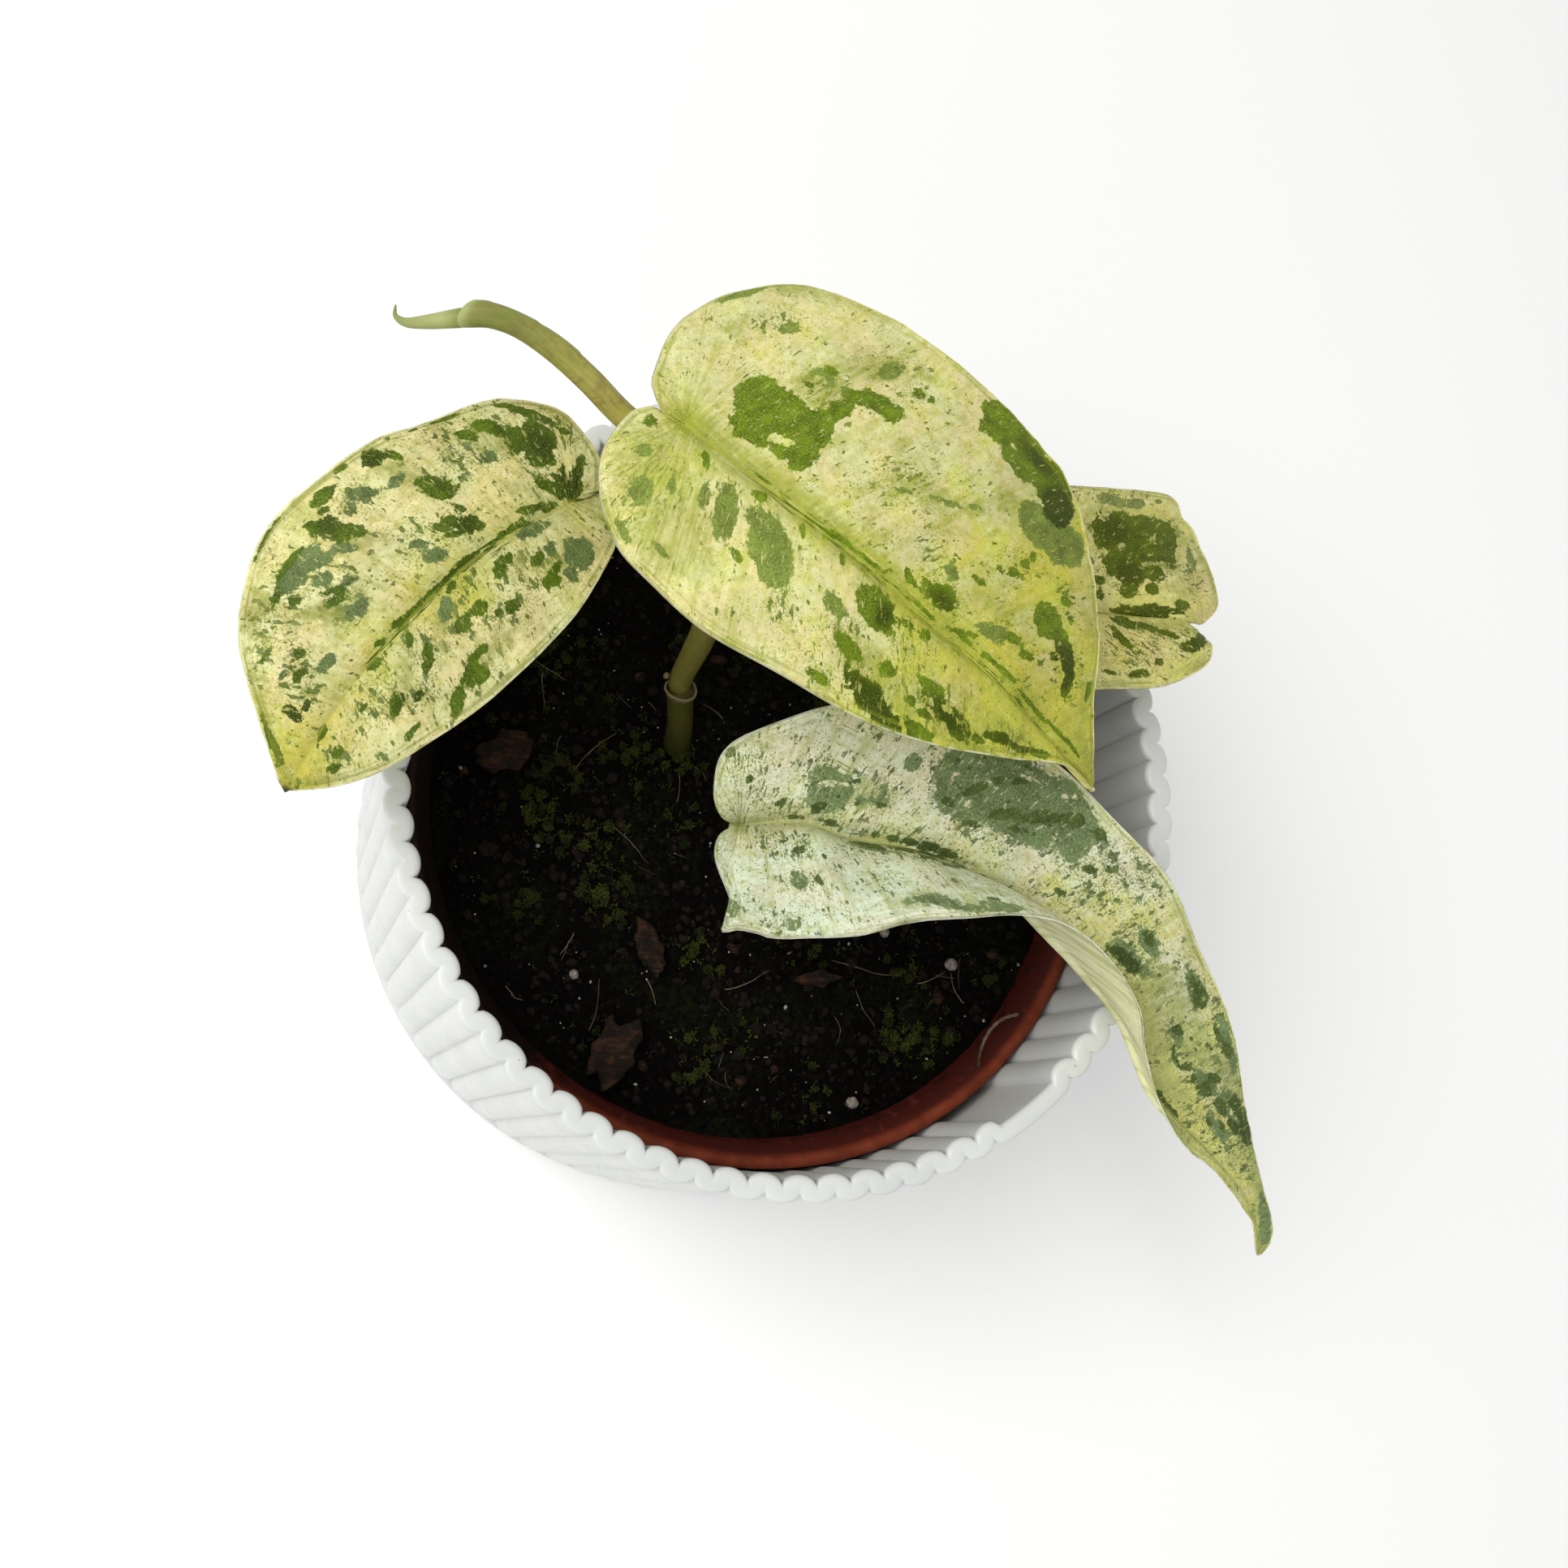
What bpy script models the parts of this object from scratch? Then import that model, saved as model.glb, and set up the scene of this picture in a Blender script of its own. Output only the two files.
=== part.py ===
"""Potted scindapsus: a fluted white cachepot, a terracotta-coloured nursery pot inside it, mossy
soil, and a short vine with four variegated leaves and one rolled new leaf.

Sizes are in millimetres and become metres through MM. The origin is the middle of the cachepot's
flat underside, +Z is up, and +X and +Y lie in the plane that the pot stands on.
"""
import math

import bmesh
import bpy
from mathutils import Vector

MM = 0.001
GAP = 0.3                    # clearance between pieces that touch

# Cachepot: a corrugated wall, flutes fading out above a plain foot.
POT_HEIGHT = 78.0
RIDGE_RADIUS = 65.0          # outer crest of a flute at the rim
FLUTES = 72
FLUTE_DEPTH = 1.4            # outer grooves
INNER_DEPTH = 1.5            # inner grooves, which lie behind the outer crests
WALL = 2.9                   # from an outer crest to the inner groove behind it
TAPER = 3.2                  # how much smaller the radius is at the foot
FLUTE_FOOT = 8.0             # height where the flutes begin
RIM_ROUND = 0.6              # the flat rim's rounded edges
FOOT_RADIUS = 61.2
FOOT_HEIGHT = 2.8
FOOT_BEVEL = 0.5
NECK_RADIUS = 59.6           # the dark gap between the foot ring and the flutes
NECK_BOTTOM = 3.1
NECK_TOP = 4.6
FLUTE_END = 0.2              # how far a flute's rounded end stands back from its crest
FLOOR_TOP = 5.0
FLOOR_FILLET = 1.0
PANEL_ANGLE = -53.2          # the plain panel's middle, seen from above
PANEL_HALF = 5.4             # degrees to either side
FIRST_FLUTE = 14.67          # degrees
STEPS_PER_FLUTE = 4
FLUTE_FULLNESS = 0.7         # below 1, the crests are broad and the grooves sharp

# Nursery pot, standing on the cachepot's floor.
NURSERY_BOTTOM = FLOOR_TOP + GAP
NURSERY_TOP = 58.5
NURSERY_WALL = 1.2
NURSERY_FOOT = 44.0
NURSERY_SHOULDER = 57.2
LIP_RADIUS = 59.4
LIP_DROP = 9.0
LIP_EDGE = 0.5               # the lip's rounding
LIP_TAPER = 1.0
DRAIN_RADIUS = 3.5
DRAIN_CIRCLE = 30.0
DRAINS = 6

SOIL_TOP = 54.0
SOIL_CROWN = 0.6
SOIL_CLEARANCE = 1.2 * GAP
BLADE = 0.8                  # thickness of a leaf blade

# Vine: points of its centre line, with the radius at each.
STEM = [(-13, 9, 49.5, 2.4), (-14.5, 12, 58, 2.4), (-16.6, 16, 65, 2.5), (-17, 16.8, 66.3, 3.1),
        (-16.8, 17.6, 67.6, 2.5), (-14, 23, 78, 2.3), (-16, 29, 92, 2.2), (-20, 33, 104, 2.0)]
STEM_POCKET_END = (-12.8, 8.6, 48.6, 2.4)

PETIOLES = {
    "petiole_left": [(-19.6, 28.6, 91, 1.3), (-25, 29, 94.5, 1.3), (-35, 30, 101, 1.3),
                     (-42.6, 30, 106.6, 1.2)],
    "petiole_centre": [(-12.2, 31.2, 93, 1.5), (-11, 37, 99, 1.5), (-15.5, 42.5, 107, 1.5),
                       (-23, 44, 113.5, 1.4), (-29.6, 40.2, 117.5, 1.2)],
    "petiole_right": [(-10.4, 26, 85, 1.4), (-3, 27, 89.5, 1.4), (7, 27, 93.5, 1.3),
                      (14.4, 26.2, 94.7, 1.2)],
    "petiole_front": [(-10, 21.5, 76, 1.4), (-2, 21, 81, 1.4), (10, 13, 85, 1.4), (13, 2, 84, 1.4),
                      (6, -7, 80.5, 1.3), (-4, -9.5, 79.8, 1.2), (-11.2, -9, 81.8, 1.1)],
}

# The rolled new leaf: a soft tube that narrows to a hooked tip.
NEW_LEAF = [(-21, 34, 105.9, 1.7), (-28.5, 38, 109.5, 1.8), (-37, 42.5, 112, 1.9), (-43, 45.5, 116, 1.9),
            (-48.5, 48, 119, 1.8), (-53.5, 49.5, 121, 1.6), (-57.5, 50, 122, 1.7), (-60.5, 50, 121.5, 1.8),
            (-62.5, 49.5, 120.5, 1.3), (-65.5, 49.5, 118.5, 1.1), (-68, 50, 116.5, 0.75),
            (-69.5, 51.5, 115.5, 0.4), (-69.5, 52.5, 116, 0.25)]

# Leaves: where the stalk meets the blade, then points measured from there, along the midrib to the
# tip and round each margin from the notch to the tip.
LEAVES = {
    "leaf_centre": {
        "base": (-30.5, 39, 120),
        "midrib": [(11.5, -9, 2.5), (24.5, -18, 2.5), (36.5, -25.5, -0.5), (49.5, -32.5, -5.5),
                   (70, -43, -19)],
        "upper": [(-1.5, 2.2, 0.2), (-3.5, 7, -1.5), (0, 16, -4), (8.5, 23.3, -5.5), (20.5, 26, -5.5),
                  (32.5, 21, -4.5), (45, 12.5, -4), (57.5, 4, -7), (64, -5, -9.5), (67, -20.5, -11.5),
                  (67.5, -33.5, -14.5)],
        "lower": [(-3, 0.4, -1.2), (-6.5, 1, -2), (-10.5, -5, -2.5), (-10.5, -12, -2), (-4, -22, -1),
                  (3.5, -28.5, -0.5), (14, -34, -1), (26, -39, -2.5), (38, -41.5, -5), (50.5, -42, -9),
                  (62, -41, -13.5)],
        "lobes": (0.34, 0.26),
    },
    "leaf_left": {
        "base": (-43.5, 30, 109),
        "midrib": [(-7.5, -5, 1), (-16, -12.5, 0.5), (-23, -20.5, -1.5), (-29.5, -29, -5.5),
                   (-36, -41, -12)],
        "upper": [(2, 1.4, 0), (4, 3.5, -0.8), (4, 9, -2.5), (-1.5, 15.5, -4), (-9.5, 15.5, -3.5),
                  (-22, 8.5, -2), (-33, 1, -2.5), (-41, -7.5, -5), (-43.5, -19, -8), (-41.5, -28, -9.5),
                  (-39, -36, -11.5)],
        "lower": [(3, 0, -0.8), (5.5, -2.5, -0.8), (6, -6.5, -0.5), (2, -14.5, 0), (-2, -21, -1),
                  (-10.5, -30.5, -3), (-16.5, -35.5, -5), (-23, -39.5, -7.5), (-29, -40.5, -9.5)],
        "lobes": (0.22, 0.15),
    },
    "leaf_right": {
        "base": (15, 26, 97),
        "midrib": [(13.5, 0.5, 0), (28, 0.5, -1.5), (46.5, 2.5, -6.5)],
        "upper": [(-2, 2, 0), (-3.5, 7, -0.5), (2, 15.5, -1.5), (14, 21, -2.5), (26.5, 22.5, -4),
                  (47, 26, -10.5), (52.5, 19, -11), (56.5, 8.5, -11), (51, 2.9, -8.5)],
        "lower": [(-2, -3, 0), (-3, -7.5, -0.5), (1.5, -12, -1), (11, -15, -1), (28, -12, -2.5),
                  (41, -9.5, -5.5), (50.5, -4, -8.5), (52.5, -0.5, -9)],
        "lobes": (0.26, 0.26),
    },
    "leaf_front": {
        "base": (-12, -9, 84),
        "midrib": [(9, 0.5, 3), (15.5, -1.5, 4), (26, -3, 4.5), (40.5, -8, 4), (52, -17, 2.5),
                   (61.5, -26, 1.5), (68.5, -38.5, -1), (77.5, -48.5, -5), (87, -56.5, -10),
                   (95.5, -64, -16)],
        "upper": [(-3, 1, 1), (-5, 4.5, 4), (-4.5, 9.5, 8), (1.5, 13, 10), (12, 17, 11), (25, 18, 11),
                  (38.5, 16, 10), (50, 10.5, 8.5), (59.5, 3, 7), (69.5, -5.5, 5), (75, -15, 3),
                  (82.5, -27.5, 0), (88, -42.5, -5.5), (92.5, -52.5, -10)],
        "lower": [(-3.5, -2, 2), (-5, -6, 5), (-4, -12, 8), (-5, -18, 12), (1.5, -19, 15),
                  (12.5, -18.5, 17), (20.5, -16.5, 18), (30, -15.5, 19), (41, -15, 19), (48.5, -17.5, 18),
                  (55, -22, 16), (59, -27.5, 14), (62, -34, 9), (67.5, -41.5, 3), (74, -47, -1.5),
                  (82, -51, -6), (91, -58.5, -11.5)],
        "lobes": (0.12, 0.16),
    },
}
LEAF_ROWS = 24
LEAF_COLUMNS = 4
FAN = 0.25                   # the share of the rows that fan out from the base into the lobes
CROWN = 0.05                 # a half blade's bulge, as a part of its width
VEIN_SWEEP = 1.25            # above 1, the side veins lean towards the tip
MIDRIB_STEPS = 60
MARGIN_STEPS = 120
SAME_POINT = 0.05            # blade vertices closer than this become one

# Small things on the soil: (x, y, half length, half width, half height, turn in degrees).
MOSS = [(-24, -9, 9, 7, 1.6, 20), (28, -35, 9, 6, 1.8, 40), (3, -43, 8, 5.5, 1.4, 0),
        (-41, -16, 5, 8, 1.4, 10), (-34, 26, 7, 5, 1.3, 70), (20, 22, 9, 7, 1.5, 30)]
BARK = [(-43, 7, 4.5, 3, 0.9, 25), (-24, -41, 5.5, 3.5, 1.1, 65), (-19, -24, 4.5, 1.8, 0.8, 110),
        (10, -28, 4, 1.6, 0.7, 5)]
PERLITE = [(34, -25, 1.2), (16, -48.5, 1.1), (22, -20, 0.9), (-31, -29, 0.9)]
ROOT = [(39, -36.5, 56.5, 0.35), (41, -33, 57.5, 0.35), (44, -29.5, 57, 0.35), (49, -21, 55.2, 0.3)]


def clear_scene():
    for item in list(bpy.data.objects):
        bpy.data.objects.remove(item, do_unlink=True)


def new_collection(name):
    collection = bpy.data.collections.new(name)
    bpy.context.scene.collection.children.link(collection)
    return collection


def principled(name, colour, roughness):
    material = bpy.data.materials.new(name)
    material.use_nodes = True
    shader = material.node_tree.nodes["Principled BSDF"]
    shader.inputs["Base Color"].default_value = (*colour, 1)
    shader.inputs["Roughness"].default_value = roughness
    shader.inputs["Metallic"].default_value = 0
    material.diffuse_color = (*colour, 1)
    return material


def add_object(name, data, collection, material=None):
    item = bpy.data.objects.new(name, data)
    collection.objects.link(item)
    if material:
        data.materials.append(material)
    return item


def finish_mesh(bm, name, smooth_angle=40):
    mesh = bpy.data.meshes.new(name)
    bmesh.ops.recalc_face_normals(bm, faces=bm.faces)
    bm.to_mesh(mesh)
    bm.free()
    mesh.shade_smooth()
    mesh.set_sharp_from_angle(angle=math.radians(smooth_angle))
    return mesh


def catmull_rom(a, b, c, d, t):
    """The point at t between b and c, on a curve that also bends towards a and d."""
    square = (2 * a - 5 * b + 4 * c - d) * t ** 2
    cube = (3 * b - a - 3 * c + d) * t ** 3
    return 0.5 * (2 * b + (c - a) * t + square + cube)


def smooth_curve(points, count, steps=12):
    """count + 1 points, evenly spaced along a smooth curve through the given points."""
    ends = [2 * points[0] - points[1], *points, 2 * points[-1] - points[-2]]
    fine = []
    for i in range(len(points) - 1):
        fine += [catmull_rom(*ends[i:i + 4], step / steps) for step in range(steps)]
    fine.append(points[-1])
    reach = [0.0]
    for a, b in zip(fine, fine[1:]):
        reach.append(reach[-1] + (Vector(b[:3]) - Vector(a[:3])).length)
    spaced, i = [], 0
    for k in range(count + 1):
        wanted = reach[-1] * k / count
        while i < len(fine) - 2 and reach[i + 1] < wanted:
            i += 1
        part = (wanted - reach[i]) / (reach[i + 1] - reach[i])
        spaced.append(fine[i].lerp(fine[i + 1], min(part, 1.0)))
    return spaced


def point_on(curve, share):
    """The point a given share of the way along a list of evenly spaced points."""
    place = share * (len(curve) - 1)
    i = min(int(place), len(curve) - 2)
    return curve[i].lerp(curve[i + 1], place - i)


def tube(name, route, spacing, collection, material=None, extra=0.0):
    """A round stem along a route of (x, y, z, radius), with filled ends."""
    stations = [Vector(station) for station in route]
    length = sum((Vector(b[:3]) - Vector(a[:3])).length for a, b in zip(route, route[1:]))
    points = smooth_curve(stations, max(4, round(length / spacing)))
    curve = bpy.data.curves.new(name, "CURVE")
    curve.dimensions = "3D"
    curve.bevel_depth = MM
    curve.bevel_resolution = 2
    curve.use_fill_caps = True
    spline = curve.splines.new("POLY")
    spline.points.add(len(points) - 1)
    for target, point in zip(spline.points, points):
        target.co = (*(Vector(point[:3]) * MM), 1)
        target.radius = point[3] + extra
    return add_object(name, curve, collection, material)


def as_mesh(item):
    """Turn a curve object into a closed mesh object of the same name."""
    name, collection, place = item.name, item.users_collection[0], item.matrix_world.copy()
    bpy.context.view_layer.update()
    evaluated = item.evaluated_get(bpy.context.evaluated_depsgraph_get())
    mesh = bpy.data.meshes.new_from_object(evaluated)
    bm = bmesh.new()
    bm.from_mesh(mesh)
    bmesh.ops.remove_doubles(bm, verts=bm.verts, dist=0.001 * MM)
    bm.to_mesh(mesh)
    bm.free()
    bpy.data.objects.remove(item, do_unlink=True)
    solid = add_object(name, mesh, collection)
    solid.matrix_world = place
    return solid


def cut(item, cutter):
    cutter.hide_render = True
    cutter.display_type = "WIRE"
    boolean = item.modifiers.new("Cut " + cutter.name, "BOOLEAN")
    boolean.operation = "DIFFERENCE"
    boolean.solver = "EXACT"
    boolean.object = cutter


def turned(name, profile, segments, collection, material):
    """A turned solid. The profile of (radius, height) runs from the axis, over the top, down and in."""
    bm = bmesh.new()
    verts = [bm.verts.new((radius * MM, 0, height * MM)) for radius, height in profile]
    for a, b in zip(verts, verts[1:]):
        bm.edges.new((a, b))
    mesh = bpy.data.meshes.new(name)
    bm.to_mesh(mesh)
    bm.free()
    item = add_object(name, mesh, collection, material)
    screw = item.modifiers.new("Turn", "SCREW")
    screw.axis = "Z"
    screw.steps = screw.render_steps = segments
    screw.use_merge_vertices = True
    screw.merge_threshold = 0.00001
    screw.use_smooth_shade = True
    return item


def on_panel(angle):
    return abs((angle - PANEL_ANGLE + 180) % 360 - 180) < PANEL_HALF


def outer_wave(angle):
    """1 on an outer crest and 0 in the groove beside it; 1 all over the plain panel."""
    if on_panel(angle):
        return 1.0
    phase = (angle - FIRST_FLUTE) / 360 * FLUTES
    return abs(math.sin(math.pi * phase)) ** FLUTE_FULLNESS


def inner_wave(angle):
    """1 on an inner crest, behind an outer groove, and 0 in the inner groove beside it."""
    if on_panel(angle):
        return 0.0
    phase = (angle - FIRST_FLUTE) / 360 * FLUTES
    return abs(math.cos(math.pi * phase)) ** FLUTE_FULLNESS


def ring(bm, radius_at, height, count):
    """One closed ring of vertices; radius_at gives the radius for an angle in degrees."""
    verts = []
    for i in range(count):
        angle = FIRST_FLUTE + 360 * i / count
        radius = radius_at(angle)
        x = radius * math.cos(math.radians(angle))
        y = radius * math.sin(math.radians(angle))
        verts.append(bm.verts.new((x * MM, y * MM, height * MM)))
    return verts


def bridge(bm, lower, upper):
    """Join two rings. One may have a whole number of times as many vertices as the other."""
    count, few = max(len(lower), len(upper)), min(len(lower), len(upper))
    share = count // few
    for i in range(count):
        a, b = i, (i + 1) % count
        if share == 1:
            bm.faces.new((lower[a], lower[b], upper[b], upper[a]))
            continue
        dense, sparse = (lower, upper) if len(lower) == count else (upper, lower)
        near = i // share
        bm.faces.new((dense[a], dense[b], sparse[near]))
        if b % share == 0:
            bm.faces.new((dense[b], sparse[(near + 1) % few], sparse[near]))


def wall_radius(height):
    """Radius of the outer crests at a height: the wall leans out a little towards the rim."""
    return RIDGE_RADIUS - TAPER * (POT_HEIGHT - height) / POT_HEIGHT


def build_cachepot(collection, material):
    """Rings from the underside's edge, up the outside, over the rim and down to the floor."""
    def round_at(radius):
        return lambda angle: radius

    def outer(height, inset=0.0):
        return lambda angle: wall_radius(height) - inset - FLUTE_DEPTH * (1 - outer_wave(angle))

    def inner(height, inset=0.0):
        return lambda angle: wall_radius(height) - WALL + inset - INNER_DEPTH * inner_wave(angle)

    many = FLUTES * STEPS_PER_FLUTE
    shoulder = POT_HEIGHT - RIM_ROUND
    floor_edge = wall_radius(FLOOR_TOP) - WALL - INNER_DEPTH - FLOOR_FILLET
    profile = [
        (round_at(FOOT_RADIUS - FOOT_BEVEL), 0, FLUTES),
        (round_at(FOOT_RADIUS), FOOT_BEVEL, FLUTES),
        (round_at(FOOT_RADIUS), FOOT_HEIGHT, FLUTES),
        (round_at(NECK_RADIUS), NECK_BOTTOM, FLUTES),
        (round_at(NECK_RADIUS), NECK_TOP, FLUTES),
        (outer(FLUTE_FOOT, FLUTE_END), FLUTE_FOOT, many),
        (outer(shoulder), shoulder, many),
        (outer(POT_HEIGHT, RIM_ROUND), POT_HEIGHT, many),
        (inner(POT_HEIGHT, RIM_ROUND), POT_HEIGHT, many),
        (inner(shoulder), shoulder, many),
        (inner(FLUTE_FOOT), FLUTE_FOOT, many),
        (round_at(floor_edge), FLOOR_TOP, FLUTES),
    ]
    bm = bmesh.new()
    rings = [ring(bm, radius_at, height, count) for radius_at, height, count in profile]
    for lower, upper in zip(rings, rings[1:]):
        bridge(bm, lower, upper)
    bm.faces.new(rings[0])
    bm.faces.new(rings[-1])
    return add_object("cachepot", finish_mesh(bm, "cachepot"), collection, material)


def nursery_inside(height):
    """Inner radius of the nursery pot at a height."""
    share = (height - NURSERY_BOTTOM) / (NURSERY_TOP - NURSERY_BOTTOM)
    return NURSERY_FOOT + (NURSERY_SHOULDER - NURSERY_FOOT) * share - NURSERY_WALL


def build_nursery_pot(collection, cutters, material):
    floor = NURSERY_BOTTOM + NURSERY_WALL
    shoulder = NURSERY_TOP - LIP_DROP
    brim = NURSERY_TOP - LIP_EDGE
    profile = [(0, floor), (nursery_inside(floor), floor), (nursery_inside(brim), brim),
               (nursery_inside(NURSERY_TOP) + LIP_EDGE, NURSERY_TOP), (LIP_RADIUS - LIP_EDGE, NURSERY_TOP),
               (LIP_RADIUS, brim), (LIP_RADIUS - LIP_TAPER, shoulder),
               (nursery_inside(shoulder) + NURSERY_WALL, shoulder), (NURSERY_FOOT, NURSERY_BOTTOM),
               (0, NURSERY_BOTTOM)]
    pot = turned("nursery_pot", profile, 72, collection, material)
    for i in range(DRAINS):
        angle = math.tau * i / DRAINS
        bpy.ops.mesh.primitive_cylinder_add(
            vertices=16, radius=DRAIN_RADIUS * MM, depth=4 * NURSERY_WALL * MM)
        hole = bpy.context.object
        hole.name = f"drain_cutter_{i + 1}"
        x, y = DRAIN_CIRCLE * math.cos(angle), DRAIN_CIRCLE * math.sin(angle)
        hole.location = (x * MM, y * MM, floor * MM)
        for owner in list(hole.users_collection):
            owner.objects.unlink(hole)
        cutters.objects.link(hole)
        cut(pot, hole)
    return pot


def soil_height(x, y):
    """Height of the soil's surface, a little higher in the middle."""
    edge = nursery_inside(SOIL_TOP)
    return SOIL_TOP + SOIL_CROWN * (1 - math.hypot(x, y) / edge)


def build_soil(collection, cutters, material):
    bottom = NURSERY_BOTTOM + NURSERY_WALL + GAP
    edge = nursery_inside(SOIL_TOP) - SOIL_CLEARANCE
    profile = [(0, soil_height(0, 0)), (edge / 2, soil_height(edge / 2, 0)), (edge, SOIL_TOP),
               (nursery_inside(bottom) - SOIL_CLEARANCE, bottom), (0, bottom)]
    soil = turned("soil", profile, 72, collection, material)
    cut(soil, as_mesh(tube("stem_pocket_cutter", [STEM_POCKET_END, *STEM], 2.4, cutters, extra=1.5 * GAP)))
    return soil


def build_leaf(name, plan, collection, material):
    """A blade as ribs: each runs from the midrib to a margin, and the basal lobes fan from the base."""
    base = Vector(plan["base"])
    midrib_points = [base] + [base + Vector(offset) for offset in plan["midrib"]]
    midrib = smooth_curve(midrib_points, MIDRIB_STEPS)
    bm = bmesh.new()
    for side, lobe_share in zip(("upper", "lower"), plan["lobes"]):
        margin_points = [base + Vector(offset) for offset in plan[side]]
        margin = smooth_curve([base, *margin_points, midrib_points[-1]], MARGIN_STEPS)
        rows = []
        for i in range(LEAF_ROWS + 1):
            past_fan = max(0.0, (i / LEAF_ROWS - FAN) / (1 - FAN))
            in_fan = min(1.0, i / LEAF_ROWS / FAN)
            root = point_on(midrib, past_fan ** VEIN_SWEEP)
            edge = point_on(margin, lobe_share * in_fan + (1 - lobe_share) * past_fan)
            crown = CROWN * (edge - root).length
            row = []
            for j in range(LEAF_COLUMNS + 1):
                v = j / LEAF_COLUMNS
                point = root.lerp(edge, v) + Vector((0, 0, crown * 4 * v * (1 - v)))
                row.append(bm.verts.new(point * MM))
            rows.append(row)
        for near, far in zip(rows, rows[1:]):
            for j in range(LEAF_COLUMNS):
                bm.faces.new((near[j], near[j + 1], far[j + 1], far[j]))
    bmesh.ops.remove_doubles(bm, verts=bm.verts, dist=SAME_POINT * MM)
    bmesh.ops.dissolve_degenerate(bm, edges=bm.edges, dist=SAME_POINT * MM)
    leaf = add_object(name, finish_mesh(bm, name, 60), collection, material)
    solidify = leaf.modifiers.new("Blade thickness", "SOLIDIFY")
    solidify.thickness = BLADE * MM
    solidify.offset = 0
    return leaf


def build_pebble(name, place, halves, turn, collection, material):
    """A rounded lump that rests on the soil."""
    bm = bmesh.new()
    bmesh.ops.create_icosphere(bm, subdivisions=2, radius=MM)
    item = add_object(name, finish_mesh(bm, name), collection, material)
    for vert in item.data.vertices:
        vert.co = Vector(vert.co[i] * halves[i] for i in range(3))
    height = soil_height(*place) + GAP + halves[2]
    item.location = (place[0] * MM, place[1] * MM, height * MM)
    item.rotation_euler = (0, 0, math.radians(turn))
    return item


def build_bark(name, x, y, halves, turn, collection, material):
    bm = bmesh.new()
    bmesh.ops.create_cube(bm, size=2 * MM)
    item = add_object(name, finish_mesh(bm, name), collection, material)
    for vert in item.data.vertices:
        taper = 0.75 if vert.co.x > 0 else 1.0
        vert.co = Vector((vert.co.x * halves[0], vert.co.y * halves[1] * taper, vert.co.z * halves[2]))
    bevel = item.modifiers.new("Worn edges", "BEVEL")
    bevel.width = 0.4 * halves[2] * MM
    bevel.segments = 1
    item.location = (x * MM, y * MM, (soil_height(x, y) + GAP + halves[2]) * MM)
    item.rotation_euler = (0, 0, math.radians(turn))
    return item


def build_litter(collection):
    moss = principled("moss", (0.05, 0.09, 0.01), 0.95)
    bark = principled("bark", (0.09, 0.045, 0.02), 0.9)
    perlite = principled("perlite", (0.75, 0.74, 0.7), 0.9)
    for i, (x, y, *halves, turn) in enumerate(MOSS):
        build_pebble(f"moss_{i + 1}", (x, y), halves, turn, collection, moss)
    for i, (x, y, *halves, turn) in enumerate(BARK):
        build_bark(f"bark_chip_{i + 1}", x, y, halves, turn, collection, bark)
    for i, (x, y, radius) in enumerate(PERLITE):
        halves = (radius, 0.9 * radius, 0.8 * radius)
        build_pebble(f"perlite_{i + 1}", (x, y), halves, 30 * i, collection, perlite)
    tube("surface_root", ROOT, 1.6, collection, principled("root", (0.45, 0.36, 0.22), 0.8))


def build_plant(collection):
    tube("stem", STEM, 2.4, collection, principled("stem", (0.16, 0.2, 0.05), 0.55))
    stalk = principled("stalk", (0.35, 0.42, 0.12), 0.5)
    for name, route in PETIOLES.items():
        tube(name, route, 3.5, collection, stalk)
    tube("new_leaf", NEW_LEAF, 2.5, collection, principled("new_leaf", (0.5, 0.55, 0.2), 0.5))
    blade = principled("leaf", (0.72, 0.74, 0.38), 0.45)
    for name, plan in LEAVES.items():
        build_leaf(name, plan, collection, blade)


def main():
    clear_scene()
    parts = new_collection("potted_scindapsus")
    cutters = new_collection("cutters")
    build_cachepot(parts, principled("white_plastic", (0.86, 0.87, 0.88), 0.35))
    build_nursery_pot(parts, cutters, principled("terracotta_plastic", (0.42, 0.1, 0.045), 0.5))
    build_soil(parts, cutters, principled("soil", (0.02, 0.017, 0.012), 0.95))
    build_plant(parts)
    build_litter(parts)


main()
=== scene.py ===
"""The looks of a potted scindapsus: blades with their variegation, a fluted white cachepot, a
nursery pot, mossy soil and what lies on it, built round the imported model.

Lengths are in millimetres, measured from the middle of the pot's flat underside, with +Z up. They
become metres through MM where a mesh is made.
"""
import math
import random

import bmesh
import bpy
import numpy as np
from mathutils import Matrix, Vector, noise


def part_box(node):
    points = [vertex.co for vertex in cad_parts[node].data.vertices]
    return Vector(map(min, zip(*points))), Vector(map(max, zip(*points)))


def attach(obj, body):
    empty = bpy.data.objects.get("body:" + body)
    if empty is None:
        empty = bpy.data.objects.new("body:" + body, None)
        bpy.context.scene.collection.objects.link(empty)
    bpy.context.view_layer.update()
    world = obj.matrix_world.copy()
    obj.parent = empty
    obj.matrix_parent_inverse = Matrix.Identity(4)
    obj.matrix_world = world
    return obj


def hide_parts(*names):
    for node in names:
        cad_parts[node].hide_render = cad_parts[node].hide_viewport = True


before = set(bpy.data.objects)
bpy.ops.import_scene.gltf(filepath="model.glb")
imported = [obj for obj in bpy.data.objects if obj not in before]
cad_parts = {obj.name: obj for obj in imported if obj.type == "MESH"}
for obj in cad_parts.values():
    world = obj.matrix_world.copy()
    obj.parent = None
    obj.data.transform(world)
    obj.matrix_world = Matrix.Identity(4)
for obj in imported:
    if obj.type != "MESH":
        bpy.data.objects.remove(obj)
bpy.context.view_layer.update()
MM = 0.001


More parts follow.
